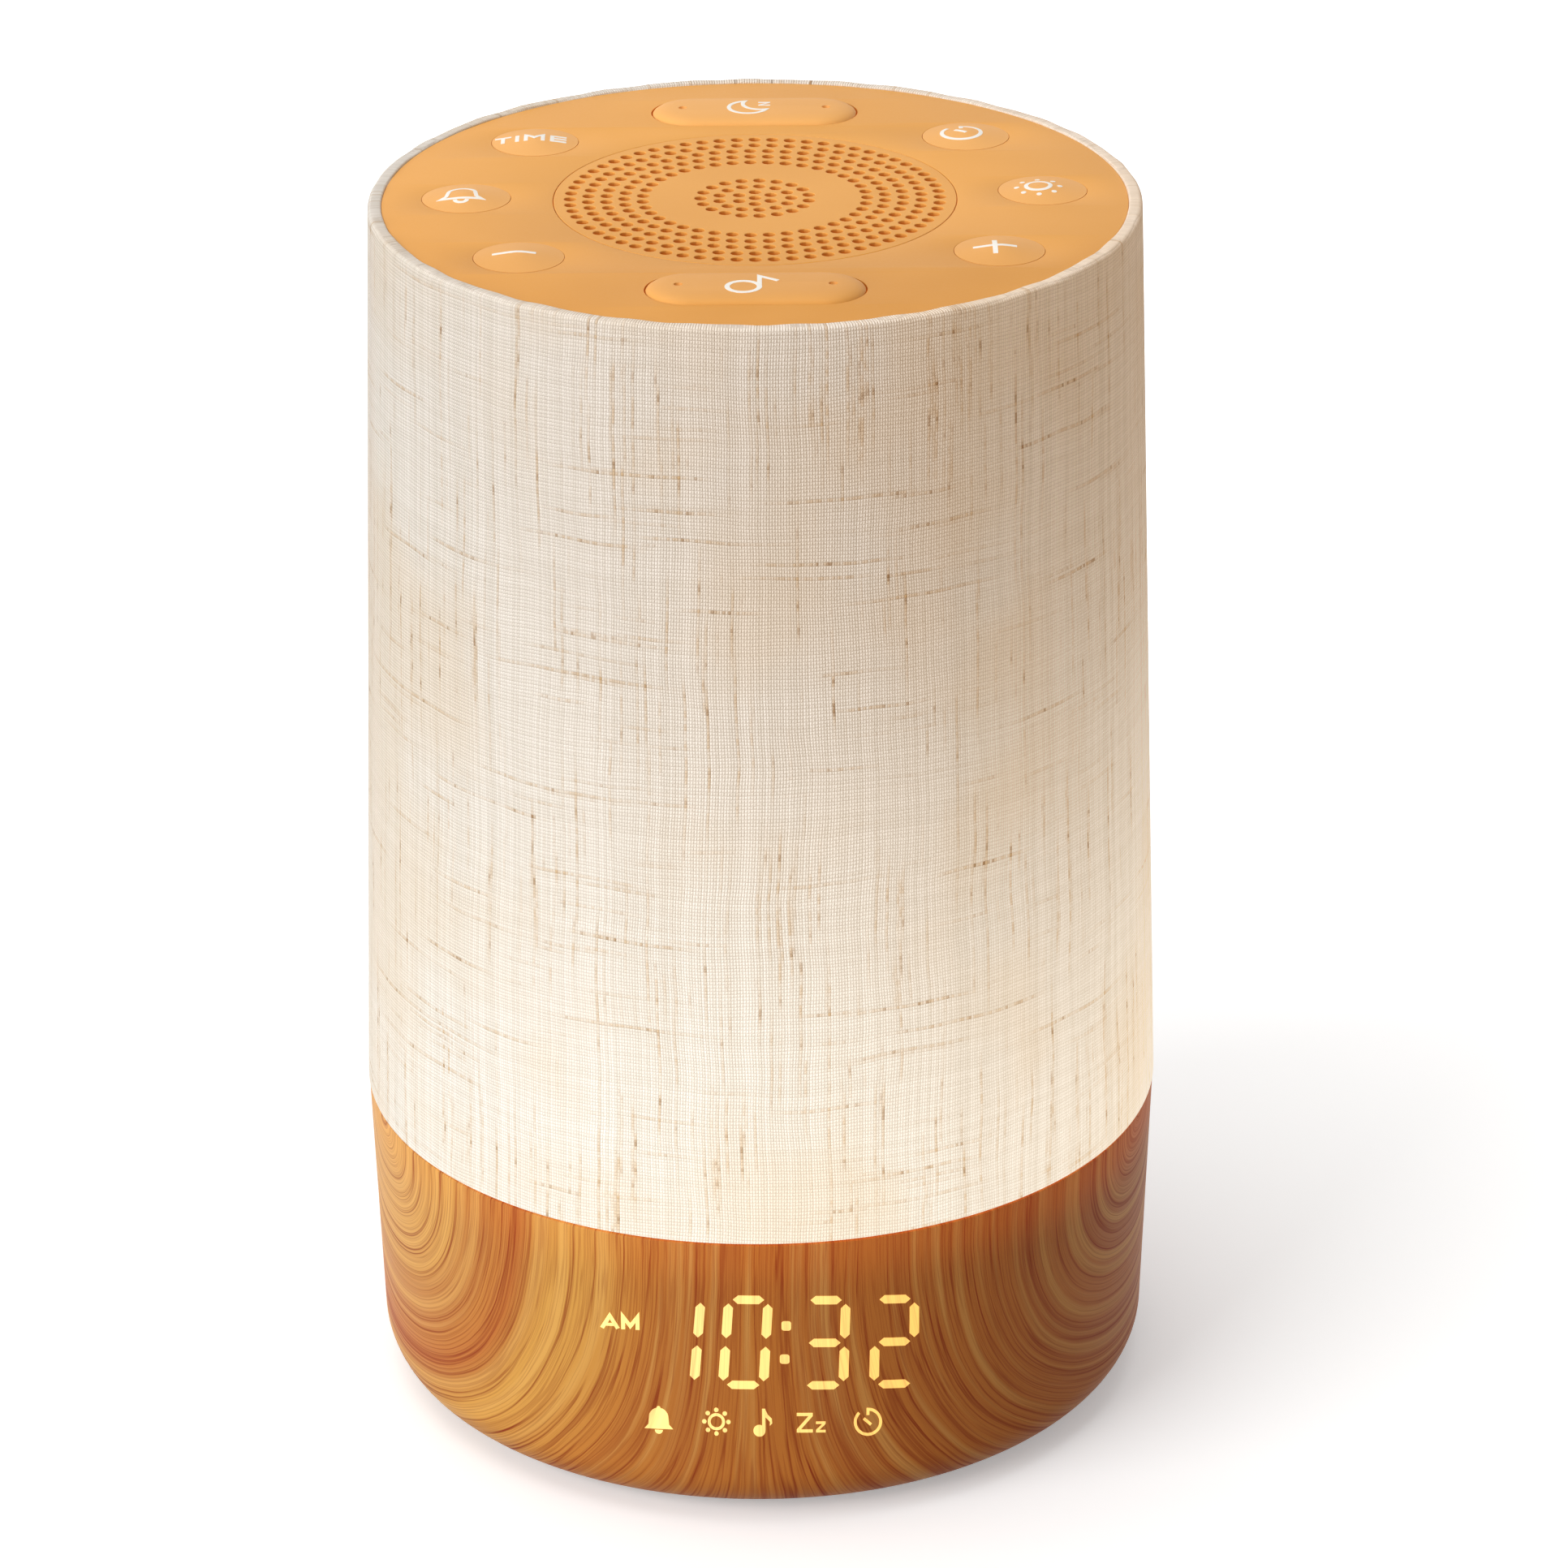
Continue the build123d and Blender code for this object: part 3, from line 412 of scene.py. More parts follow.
def lamp_finish():
    """Warm white LEDs, whose brightness changes in soft clouds."""
    finish = Finish("led_lens", roughness=0.25, emission_strength=1.0)
    cloud = finish.noise(finish.place(), 0.9, 1.0)
    finish.wear("Base Color", finish.blend(cloud, rgb(255, 232, 170), rgb(250, 214, 140)))
    finish.wear("Emission Color", finish.blend(cloud, rgb(255, 226, 170), rgb(255, 206, 130)))
    return finish.material


linen = linen_finish()
# Each second colour is a darker tone, used for random clouding and for the painted shade towards the
# front.
orange_panel = panel_finish("orange_panel", rgb(236, 167, 78), rgb(216, 147, 58))
orange_key = panel_finish("orange_key", rgb(242, 176, 96), rgb(222, 155, 72))
wood_grain = wood_finish()
clock_glow = clock_glow_finish()
white_print = print_finish()
diffuser = milk_finish()
circuit_board = board_finish()
white_plastic = moulded_finish("white_plastic", rgb(238, 238, 234), rgb(230, 230, 226))
black_plastic = moulded_finish("black_plastic", rgb(34, 34, 36), rgb(26, 26, 28))
foam = moulded_finish("foam", rgb(44, 44, 46), rgb(34, 34, 36), 0.9, 2.4)
silicone = moulded_finish("silicone", rgb(70, 70, 72), rgb(60, 60, 62), 0.65)
steel = metal_finish("steel", rgb(206, 206, 208), rgb(184, 184, 188))
magnet = moulded_finish("magnet", rgb(58, 58, 62), rgb(46, 46, 50), 0.4)
led_lens = lamp_finish()
light_guide = moulded_finish("light_guide", rgb(244, 242, 234), rgb(236, 234, 226), 0.35)
ribbon = moulded_finish("ribbon", rgb(224, 218, 198), rgb(212, 206, 186), 0.45)

NODE_FINISHES = {
    "diffuser_tube": diffuser,
    "top_panel": orange_panel,
    "key_board": circuit_board,
    "led_board": circuit_board,
    "main_board": circuit_board,
    "display_board": circuit_board,
    "tact_switches": black_plastic,
    "board_parts": black_plastic,
    "speaker_basket": black_plastic,
    "speaker_diaphragm": black_plastic,
    "bottom_cover": black_plastic,
    "speaker_gasket": foam,
    "speaker_motor": magnet,
    "speaker_box": white_plastic,
    "light_column": white_plastic,
    "base_deck": white_plastic,
    "leds": led_lens,
    "display_block": light_guide,
    "key_ribbon": ribbon,
    "feet": silicone,
    "rocker_pins": steel,
    "speaker_screws": steel,
    "base_screws": steel,
    "board_screws": steel,
    "usb_socket": steel,
    **{f"{key}_plunger": black_plastic for key in ROUND_KEYS},
}
for node, material in NODE_FINISHES.items():
    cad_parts[node].data.materials.clear()
    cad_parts[node].data.materials.append(material)


# --- Hand tools -----------------------------------------------------------------------------------
def metres(*point):
    """A point or a step in millimetres, as Blender takes it."""
    return Vector(point) * MM


def select_only(*pieces):
    """Select these pieces and nothing else, the last one active."""
    if bpy.context.mode != "OBJECT":
        bpy.ops.object.mode_set(mode="OBJECT")
    bpy.ops.object.select_all(action="DESELECT")
    for piece in pieces:
        piece.select_set(True)
        bpy.context.view_layer.objects.active = piece


def close_up(piece):
    """Merge what meets and turn the faces outwards."""
    select_only(piece)
    bpy.ops.object.mode_set(mode="EDIT")
    bpy.ops.mesh.select_all(action="SELECT")
    bpy.ops.mesh.remove_doubles(threshold=MERGE)
    bpy.ops.mesh.normals_make_consistent(inside=False)
    bpy.ops.object.mode_set(mode="OBJECT")
    bpy.ops.object.transform_apply(location=True, rotation=True, scale=True)
    return piece


def drawn_line(points, closed=False):
    """A chain of edges, drawn by extruding its last point to the next. Stays in edit mode."""
    select_only()
    bpy.ops.mesh.primitive_plane_add(size=MM, location=metres(*points[0]))
    bpy.ops.object.mode_set(mode="EDIT")
    bpy.ops.mesh.merge(type="CENTER")
    ends = [*points[1:], points[0]] if closed else points[1:]
    for start, end in zip(points, ends):
        step = metres(*end) - metres(*start)
        bpy.ops.mesh.extrude_region_move(TRANSFORM_OT_translate={"value": step})
    bpy.ops.mesh.select_all(action="SELECT")
    bpy.ops.mesh.remove_doubles(threshold=MERGE)
    return bpy.context.object


def turned(profile, steps, centre=(0, 0), closed=False):
    """A profile of (radius, height) spun about an upright axis."""
    x, y = centre
    piece = drawn_line([(x + radius, y, height) for radius, height in profile], closed)
    bpy.ops.mesh.spin(steps=steps, angle=math.tau, center=metres(x, y, 0), axis=(0, 0, 1))
    return close_up(piece)


def slab(outline, low, high, insets=()):
    """A flat solid between two heights, its top rounded off by steps of (inset, rise)."""
    piece = drawn_line([(x, y, low) for x, y in outline], closed=True)
    bpy.ops.mesh.edge_face_add()
    bpy.ops.mesh.extrude_region_move(TRANSFORM_OT_translate={"value": metres(0, 0, high - low)})
    for inset, rise in insets:
        bpy.ops.mesh.inset(thickness=inset * MM, depth=0)
        bpy.ops.transform.translate(value=metres(0, 0, rise))
    return close_up(piece)


def stroke(points, width, low, high, closed=False):
    """A pen stroke of even width along a line, as a flat solid between two heights."""
    piece = drawn_line([(x, y, low) for x, y in points], closed)
    bpy.ops.mesh.extrude_region_move(TRANSFORM_OT_translate={"value": metres(0, 0, high - low)})
    bpy.ops.object.mode_set(mode="OBJECT")
    modify(piece, "SOLIDIFY", thickness=width * MM, offset=0.0, use_even_offset=True)
    return close_up(piece)


def modify(piece, kind, **settings):
    """Give a piece a modifier and apply it."""
    select_only(piece)
    modifier = piece.modifiers.new(kind.lower(), kind)
    for name, value in settings.items():
        setattr(modifier, name, value)
    bpy.ops.object.modifier_apply(modifier=modifier.name)
    return piece


def joined(pieces):
    """The pieces as one object, which is the last of them."""
    select_only(*pieces)
    bpy.ops.object.join()
    return bpy.context.object


def carve(piece, tool, operation):
    """Cut a piece with a tool, or keep what they share, and put the tool away."""
    modify(piece, "BOOLEAN", operation=operation, object=tool, solver="EXACT", use_self=True)
    bpy.data.objects.remove(tool)
    return piece


def plate(outlines, low, high, edge, resolution=2):
    """A flat plate between two heights, with holes and softened edges, from closed flat curves."""
    select_only()
    first, *rest = outlines
    first()
    curve = bpy.context.object
    bpy.ops.object.mode_set(mode="EDIT")
    for outline in rest:
        outline()
    bpy.ops.object.mode_set(mode="OBJECT")
    curve.data.dimensions = "2D"
    curve.data.fill_mode = "BOTH"
    curve.data.extrude = (high - low) / 2 * MM - edge * MM
    curve.data.bevel_depth = edge * MM
    curve.data.bevel_resolution = resolution
    curve.data.offset = -edge * MM
    bpy.ops.object.convert(target="MESH")
    curve.location.z = (low + high) / 2 * MM
    return close_up(bpy.context.object)


def disc_outline(radius, centre=(0, 0), resolution=12):
    """Draws a circle as a flat curve."""

    def draw():
        bpy.ops.curve.primitive_bezier_circle_add(radius=radius * MM, location=metres(*centre, 0))
        bpy.context.object.data.splines[-1].resolution_u = resolution

    return draw


def settle(piece, name, body, material, replaced=(), smooth=30):
    """Name a finished piece, give it its finish, and let it ride on its body."""
    select_only(piece)
    bpy.ops.object.shade_smooth_by_angle(angle=math.radians(smooth))
    piece.name = piece.data.name = name
    piece.data.materials.clear()
    piece.data.materials.append(material)
    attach(piece, body)
    if replaced:
        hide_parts(*replaced)
    return piece


def arc(centre, radius, start, end, steps):
    """Points on an arc, with its angles in degrees."""
    angles = [math.radians(start + (end - start) * step / steps) for step in range(steps + 1)]
    return [(centre[0] + radius * math.cos(a), centre[1] + radius * math.sin(a)) for a in angles]


def rounded(width, depth, corner, centre=(0, 0), steps=8):
    """The outline of a rectangle with rounded corners, as points."""
    x, y = width / 2 - corner, depth / 2 - corner
    points = []
    for quarter, (a, b) in enumerate(((1, 1), (-1, 1), (-1, -1), (1, -1))):
        middle_point = (centre[0] + a * x, centre[1] + b * y)
        points += arc(middle_point, corner, 90 * quarter, 90 * quarter + 90, steps)
    return points


def stood(piece):
    """Tip a shape drawn flat onto its foot: what was up on paper is up in space."""
    piece.rotation_euler.x = math.pi / 2
    select_only(piece)
    bpy.ops.object.transform_apply(location=True, rotation=True, scale=True)
    return piece


def block(centre, width, depth, low, high):
    """A plain block between two heights."""
    x, y = centre
    corners = ((-1, -1), (1, -1), (1, 1), (-1, 1))
    return slab([(x + a * width / 2, y + b * depth / 2) for a, b in corners], low, high)


def middle(node):
    """Where a node has its middle, seen from above."""
    low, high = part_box(node)
    centre = (low + high) / (2 * MM)
    return centre.x, centre.y


# --- Camera, light and ground ---------------------------------------------------------------------
CAMERA_PLACE = (0, -0.6990, 0.3964)  # metres
CAMERA_YAW, CAMERA_PITCH, CAMERA_ROLL = (math.radians(angle) for angle in (0.259, 24.384, -0.302))
CAMERA_LENS = 138.14
GROUND_SIZE = 12  # metres
GROUND_DROP = 0.05  # keeps the floor clear of the soles of the feet
FILL = 0.32  # strength of the even light from all round
PLAIN_SIGHT = ("Camera", "Glossy", "Transmission")  # rays that see a white floor and backdrop

forward = Vector((
    math.sin(CAMERA_YAW) * math.cos(CAMERA_PITCH),
    math.cos(CAMERA_YAW) * math.cos(CAMERA_PITCH),
    -math.sin(CAMERA_PITCH),
))
level = forward.cross(Vector((0, 0, 1))).normalized()
upward = level.cross(forward)
right = level * math.cos(CAMERA_ROLL) + upward * math.sin(CAMERA_ROLL)
upright = upward * math.cos(CAMERA_ROLL) - level * math.sin(CAMERA_ROLL)
select_only()
bpy.ops.object.camera_add()
camera = bpy.context.object
camera.data.lens = CAMERA_LENS
turn = Matrix((right, upright, -forward)).transposed()
camera.matrix_world = Matrix.Translation(CAMERA_PLACE) @ turn.to_4x4()
bpy.context.scene.camera = camera
bpy.context.scene.view_settings.view_transform = "Standard"

bpy.ops.mesh.primitive_plane_add(size=GROUND_SIZE, location=metres(0, 0, -GROUND_DROP))
ground = bpy.context.object
ground.name = "ground"


def ground_finish():
    """Matt studio paper, bright to the camera and dim to the light that it throws back, with painted
    shade: to the camera it glows less near the object.
    """
    finish = Finish("ground", roughness=0.9, specular_ior_level=0.1, emission_strength=1.0)
    cloud = finish.noise(finish.place(), 0.01, 1.0)
    paper = finish.blend(cloud, (0.95, 0.945, 0.945, 1), (0.93, 0.925, 0.925, 1))
    seen = sum(finish.node("LightPath", {}, {}, f"Is {kind} Ray") for kind in PLAIN_SIGHT)
    x, y, z = finish.split(finish.place())
    # Painted shade round the object: the camera-only glow is weaker near it and grows with distance.
    far = (x * x + y * y).math("SQRT").between(70, 320)
    finish.wear("Base Color", finish.blend(seen, (0.42, 0.42, 0.43, 1), paper))
    bright = finish.blend(far, (0.31, 0.31, 0.31, 1), (0.8, 0.8, 0.8, 1))
    finish.wear("Emission Color", finish.blend(seen, rgb(0, 0, 0), bright))
    return finish.material


ground.data.materials.append(ground_finish())


def lamp(place, target, size, power, color=(1, 1, 1)):
    """A square soft light that faces a point."""
    bpy.ops.object.light_add(type="AREA", location=place)
    light = bpy.context.object
    light.data.size = size
    light.data.energy = power
    light.data.color = color
    light.rotation_euler = (Vector(target) - Vector(place)).to_track_quat("-Z", "Y").to_euler()


def make_sky():
    """A dim even light all round, which the rays of PLAIN_SIGHT see as a white backdrop."""
    sky = bpy.data.worlds.new("studio")
    sky.use_nodes = True
    nodes, link = sky.node_tree.nodes, sky.node_tree.links.new
    fill = nodes["Background"]
    backdrop = nodes.new("ShaderNodeBackground")
    for source, strength in ((fill, FILL), (backdrop, 1.0)):
        source.inputs["Color"].default_value = (1, 1, 1, 1)
        source.inputs["Strength"].default_value = strength
    rays = nodes.new("ShaderNodeLightPath")
    seen, *others = (rays.outputs[f"Is {kind} Ray"] for kind in PLAIN_SIGHT)
    for other in others:
        either = nodes.new("ShaderNodeMath")
        link(seen, either.inputs[0])
        link(other, either.inputs[1])
        seen = either.outputs[0]
    mixed = nodes.new("ShaderNodeMixShader")
    link(seen, mixed.inputs["Fac"])
    link(fill.outputs["Background"], mixed.inputs[1])
    link(backdrop.outputs["Background"], mixed.inputs[2])
    link(mixed.outputs["Shader"], nodes["World Output"].inputs["Surface"])
    bpy.context.scene.world = sky


lamp((-1.1, -0.92, 0.62), (0, 0, 0.08), 1.1, 20, (0.97, 0.99, 1.0))
lamp((-0.25, 0.2, 1.3), (0, 0, 0.1), 1.4, 8.5)
make_sky()


# --- Linen cover ----------------------------------------------------------------------------------
def cover_radius(height):
    """Outer radius of the stretched cloth at a height."""
    return COVER_FOOT + (height - SEAM) / (RIM - SEAM) * (COVER_TOP - COVER_FOOT)


def rim_lump(turn):
    """How the rolled rim goes up and down round the cloth."""
    return sum(
        height * math.sin(waves * turn + start)
        for height, waves, start in ((0.05, 29, 0), (0.04, 47, 2), (0.04, 11, 1))
    )


def make_linen_cover():
    """The stretched sleeve, from its hem up over the rolled rim to its edge inside."""
    roll = 0.6
    inner_roll = 0.3
    rows = 24
    shoulder = RIM - roll
    heights = [HEM + (shoulder - HEM) * row / rows for row in range(rows + 1)]
    profile = [(cover_radius(height), height) for height in heights]
    outer_centre = (cover_radius(shoulder) - roll, shoulder)
    profile += arc(outer_centre, roll, 0, 90, 6)[1:]
    edge_centre = (RIM_INNER + inner_roll - 0.1, RIM - inner_roll)
    profile += arc(edge_centre, inner_roll, 90, 180, 4)
    profile.append((edge_centre[0] - inner_roll, PANEL_TOP - 0.1))
    cover = turned(profile, TURN_STEPS)
    for vertex in cover.data.vertices:
        if vertex.co.z > shoulder * MM:
            turn = math.atan2(vertex.co.y, vertex.co.x)
            vertex.co.z += (rim_lump(turn) - 0.1) * MM
    modify(cover, "SOLIDIFY", thickness=CLOTH * MM, offset=-1.0, use_even_offset=True)
    settle(cover, "linen_cover", "root", linen, ["fabric_cover"])
    slant = math.hypot(RIM - HEM, COVER_FOOT - COVER_TOP)
    turned_edge = cover_radius(RIM) - RIM_INNER + RIM - PANEL_TOP
    area = math.pi * (COVER_FOOT + COVER_TOP) * slant
    area += math.pi * (COVER_TOP + RIM_INNER) * turned_edge
    (slant + turned_edge) * MM
    area * MM * MM


# --- Base shell -----------------------------------------------------------------------------------
WELL_FLOOR = 44.4  # distance from the axis to the floor of the power socket's well
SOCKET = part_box("usb_socket")
SOCKET_LEVEL = (SOCKET[0].z + SOCKET[1].z) / (2 * MM)


def shell_radius(height):
    """Outer radius of the base above its rounded lower corner."""
    low = SHELL_FOOT + SHELL_CORNER
    return SHELL_LOW + (height - low) / (SEAM - low) * (SHELL_TOP - SHELL_LOW)


def at_the_back(size, corner, near, far):
    """A rounded block through the back of the base, level with the power socket."""
    return stood(slab(rounded(*size, corner, (0, SOCKET_LEVEL)), -far, -near))


def make_base_shell():
    """The turned wall with its rounded lower corner, and the well of the power inlet."""
    corner = SHELL_LOW - SHELL_CORNER
    inner = SHELL_LOW - SHELL_WALL
    profile = [(LID_RADIUS, SHELL_FOOT)]
    profile += arc((corner, SHELL_FOOT + SHELL_CORNER), SHELL_CORNER, -90, 0, 16)
    profile += [(shell_radius(height), height) for height in (*SHELL_ROWS, SEAM - 0.35)]
    profile += [
        (SHELL_TOP - 0.1, SEAM - 0.1),
        (SHELL_TOP - 0.4, SEAM),
        (SHELL_TOP - SHELL_WALL, SEAM),
        (inner, SHELL_FOOT + SHELL_CORNER),
        (corner, SHELL_FOOT + SHELL_WALL),
        (LID_RADIUS, SHELL_FOOT + SHELL_WALL),
    ]
    shell = turned(profile, TURN_STEPS, closed=True)
    carve(shell, at_the_back((15.0, 9.2), 3.2, WELL_FLOOR - 0.8, 48.6), "UNION")
    carve(shell, at_the_back((12.6, 6.8), 2.2, WELL_FLOOR, 56), "DIFFERENCE")
    carve(shell, at_the_back((9.1, 3.42), 1.65, WELL_FLOOR - 2, WELL_FLOOR + 1), "DIFFERENCE")
    settle(shell, "wood_shell", "root", wood_grain, ["base_shell"])


def make_power_socket():
    """A drawn metal mouth with rounded ends round a flat tongue."""
    rear, face = SOCKET[0].y / MM, SOCKET[1].y / MM
    socket = at_the_back((8.94, 3.26), 1.6, rear, face)
    carve(socket, at_the_back((8.24, 2.56), 1.25, rear + 1.4, face + 1), "DIFFERENCE")
    tongue = at_the_back((6.7, 0.7), 0.2, rear + 1.2, face - 1.0)
    settle(joined([tongue, socket]), "power_socket", "root", steel, ["usb_socket"])


def make_feet():
    """Four soft pads with rounded lower edges, under the bottom cover."""
    radius = 4.1
    edge = 0.4
    profile = [(0, 0), *arc((radius - edge, edge), edge, -90, 0, 5)]
    profile += [(radius, SHELL_FOOT), (0, SHELL_FOOT)]
    centres = arc((0, 0), LID_RADIUS - 4.8, 0, 270, 3)
    pads = [turned(profile, KEY_STEPS, centre) for centre in centres]
    settle(joined(pads), "foot_pads", "root", silicone, ["feet"])


make_linen_cover()
make_base_shell()
make_power_socket()
make_feet()


# --- Top panel and grille -------------------------------------------------------------------------
KEY_RADIUS = 5.42
KEY_OPENING = 5.46
GRILLE_RADIUS = 24.62
GRILLE_OPENING = 24.7
HOLE_RADIUS = 0.76
HOLE_PITCH = 2.22
HOLE_REACH = 22.6  # radius of the outermost ring of holes
OUTER_RINGS = 5
INNER_RINGS = 3
PILL_SIZE = (25.9, 10.6)
PILL_OPENING = (26.25, 10.75)


def make_top_panel():
    """The plate with its round openings, and the long ones cut after them."""
    keys = [disc_outline(KEY_OPENING, middle(f"{key}_key"), 16) for key in ROUND_KEYS]
    opening = disc_outline(GRILLE_OPENING, resolution=48)
    edge = disc_outline(RIM_INNER - 0.12, resolution=64)
    panel = plate([edge, opening, *keys], PANEL_UNDER, PANEL_TOP, 0.1)
    for rocker in ROCKERS:
        outline = rounded(*PILL_OPENING, PILL_OPENING[1] / 2, middle(f"{rocker}_rocker"), 16)
        carve(panel, slab(outline, PANEL_UNDER - 1, PANEL_TOP + 1), "DIFFERENCE")
    settle(panel, "key_panel", "root", orange_panel, ["top_panel"])


def hole_places():
    """Middles of the holes of the grille: outer rings, a plain band, inner rings and one hole."""
    rings = [HOLE_REACH - HOLE_PITCH * ring for ring in range(OUTER_RINGS)]
    rings += [HOLE_PITCH * (ring + 1) for ring in range(INNER_RINGS)]
    places = [(0, 0)]
    for index, radius in enumerate(rings):
        count = round(math.tau * radius / HOLE_PITCH)
        for hole in range(count):
            angle = math.tau * (hole + index % 2 / 2) / count
            places.append((radius * math.cos(angle), radius * math.sin(angle)))
    return places


def make_grille():
    """The round plate over the speaker, with all its holes."""
    edge = disc_outline(GRILLE_RADIUS, resolution=48)
    holes = [disc_outline(HOLE_RADIUS, place, 3) for place in hole_places()]
    grille = plate([edge, *holes], PANEL_UNDER, PANEL_TOP, 0.06, 0)
    settle(grille, "grille", "root", orange_panel, ["speaker_grille"])


# --- Keys -----------------------------------------------------------------------------------------
KEY_RISE = 0.75
KEY_TIP = 0.8  # radius over which the tip of the shallow cone is rounded
KEY_RINGS = 12  # steps from the tip of the cone to its rim
KEY_FLANGE = 12.4
KEY_STEM = 2.4


def crown(radius, lift=0.0):
    """Height of a round key's shallow cone at a radius, with its tip rounded."""
    share = (math.hypot(radius, KEY_TIP) - KEY_TIP) / (math.hypot(KEY_RADIUS, KEY_TIP) - KEY_TIP)
    return PANEL_TOP + KEY_RISE * (1 - share) + lift


def key_rings(radius):
    """Radii from the tip of a round key out to its rim."""
    return [radius * ring / KEY_RINGS for ring in range(KEY_RINGS + 1)]


def make_round_key(key):
    """A crowned cap on a square flange, which keeps it under the panel, and a stem."""
    centre = middle(f"{key}_key")
    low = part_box(f"{key}_key")[0].z / MM
    profile = [(0, PANEL_UNDER), (KEY_RADIUS, PANEL_UNDER)]
    profile += [(radius, crown(radius)) for radius in reversed(key_rings(KEY_RADIUS))]
    cap = turned(profile, KEY_STEPS, centre)
    flange = block(centre, KEY_FLANGE, KEY_FLANGE, PANEL_UNDER - 1.1, PANEL_UNDER - 0.1)
    stem = block(centre, KEY_STEM, KEY_STEM, low, PANEL_UNDER - 1.0)
    whole = joined([flange, stem, cap])
    settle(whole, f"{key}_cap", f"{key}_button", orange_key, [f"{key}_key"])


# --- Rockers --------------------------------------------------------------------------------------
PILL_RISE = 0.7
PILL_DEPTH = 2.6
PILL_CROWN = ((0.15, 0.22), (0.4, 0.26), (0.7, 0.2), (1.2, 0.14))  # inset and rise of each step
DENT_X = 9.1
DENT_RADIUS = 0.55
PIN_BORE = 0.86
HUB_SIZE = (4.0, 8.6)
FOOT_SIZE = 2.4
FOOT_X = 8.6
FOOT_LIFT = 0.9  # the feet end this far above the lower end of the hub


def make_rocker(rocker):
    """A long key with a soft crown, a dent at each end, a hub on the pin and two feet."""
    y = middle(f"{rocker}_rocker")[1]
    top = PANEL_TOP + PILL_RISE
    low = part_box(f"{rocker}_rocker")[0].z / MM
    edge = top - sum(rise for inset, rise in PILL_CROWN)
    outline = rounded(*PILL_SIZE, PILL_SIZE[1] / 2, (0, y), 16)
    body = slab(outline, top - PILL_DEPTH, edge, PILL_CROWN)
    for side in (-1, 1):
        bpy.ops.mesh.primitive_uv_sphere_add(
            segments=24, ring_count=12, radius=DENT_RADIUS * MM,
            location=metres(side * DENT_X, y, top + DENT_RADIUS * 0.15),
        )
        carve(body, bpy.context.object, "DIFFERENCE")
    roots = top - PILL_DEPTH + 0.2
    hub = block((0, y), *HUB_SIZE, low, roots)
    feet = [block((x, y), FOOT_SIZE, FOOT_SIZE, low + FOOT_LIFT, roots) for x in (-FOOT_X, FOOT_X)]
    bpy.ops.mesh.primitive_cylinder_add(
        vertices=32, radius=PIN_BORE * MM, depth=PILL_SIZE[1] * 2 * MM,
        location=metres(0, y, PIN_LEVEL), rotation=(math.pi / 2, 0, 0),
    )
    carve(hub, bpy.context.object, "DIFFERENCE")
    whole = joined([*feet, hub, body])
    settle(whole, f"{rocker}_pill", f"{rocker}_rocker", orange_key, [f"{rocker}_rocker"])


# --- White prints on the keys ---------------------------------------------------------------------
PEN = 0.5
BOLD_PEN = 0.6
PRINT_SHIFT = -0.55  # the prints sit a little left of the middles of the keys


def dotted(points, dot_radius, low, high):
    """Round dots at the given points."""
    return [slab(arc(point, dot_radius, 0, 345, 23), low, high) for point in points]


def spaced(start, end, steps=8):
    """Points along a straight pen stroke, so that it can follow a curved key."""
    return [tuple(a + (b - a) * step / steps for a, b in zip(start, end)) for step in range(steps + 1)]


def time_word(low, high):
    lines = [
        spaced((-4.49, 0.9), (-2.44, 0.9)), spaced((-3.47, 0.66), (-3.47, -1.15)),
        spaced((-1.68, 1.15), (-1.68, -1.15)),
        [(-0.58, -1.15), (-0.58, 0.95), (0.48, -0.25), (1.55, 0.95), (1.55, -1.15)],
        spaced((2.7, 1.15), (2.7, -1.15)),
    ]
    lines += [spaced((2.94, y), (4.49, y)) for y in (0.9, 0.0, -0.9)]
    return [stroke(line, PEN, low, high) for line in lines]


def bell_outline(low, high):
    body = [(-1.85, -0.8), *arc((0, 0.5), 1.65, 180, 0, 16), (1.85, -0.8)]
    body += spaced((2.5, -1.5), (-2.5, -1.5), 10)
    clapper = arc((0, -1.9), 0.75, 180, 360, 10)
    return [stroke(body, PEN, low, high, closed=True), stroke(clapper, PEN, low, high)]


def minus_sign(low, high):
    return [stroke(spaced((-2.62, 0), (2.62, 0), 16), BOLD_PEN, low, high)]


def plus_sign(low, high):
    arms = [spaced((0, side * 0.3), (0, side * 2.3), 6) for side in (1, -1)]
    return [*minus_sign(low, high), *(stroke(arm, BOLD_PEN, low, high) for arm in arms)]


def sun_sign(low, high, ring=1.5, pen=PEN, dot=0.33, reach=2.65):
    disc = stroke(arc((0, 0), ring, 0, 350, 35), pen, low, high, closed=True)
    return [disc, *dotted(arc((0, 0), reach, 0, 315, 7), dot, low, high)]


def timer_sign(low, high, ring=2.45, pen=PEN):
    return [
        stroke(arc((0, 0), ring, 133, 450, 48) + [(0, ring * 0.55)], pen, low, high),
        stroke([(-ring * 0.33, ring * 0.28), (ring * 0.24, -ring * 0.22)], pen, low, high),
    ]


def small_z(low, high, x, y, width, height, pen):
    """A letter Z from its lower left corner."""
    slope = pen * 1.3
    half = [(width, pen), (width, 0), (0, 0), (0, pen), (width - slope, height - pen)]
    outline = half + [(width - a, height - b) for a, b in half]
    return slab([(x + a, y + b) for a, b in outline], low, high)


def moon_sign(low, high):
    crescent = arc((0, 0), 2.45, 100, 340, 36) + arc((1.62, 1.36), 2.3, 287, 153, 20)[1:-1]
    moon = stroke(crescent, PEN, low, high, closed=True)
    return [moon, small_z(low, high, 1.3, 0.6, 1.5, 1.45, 0.34)]


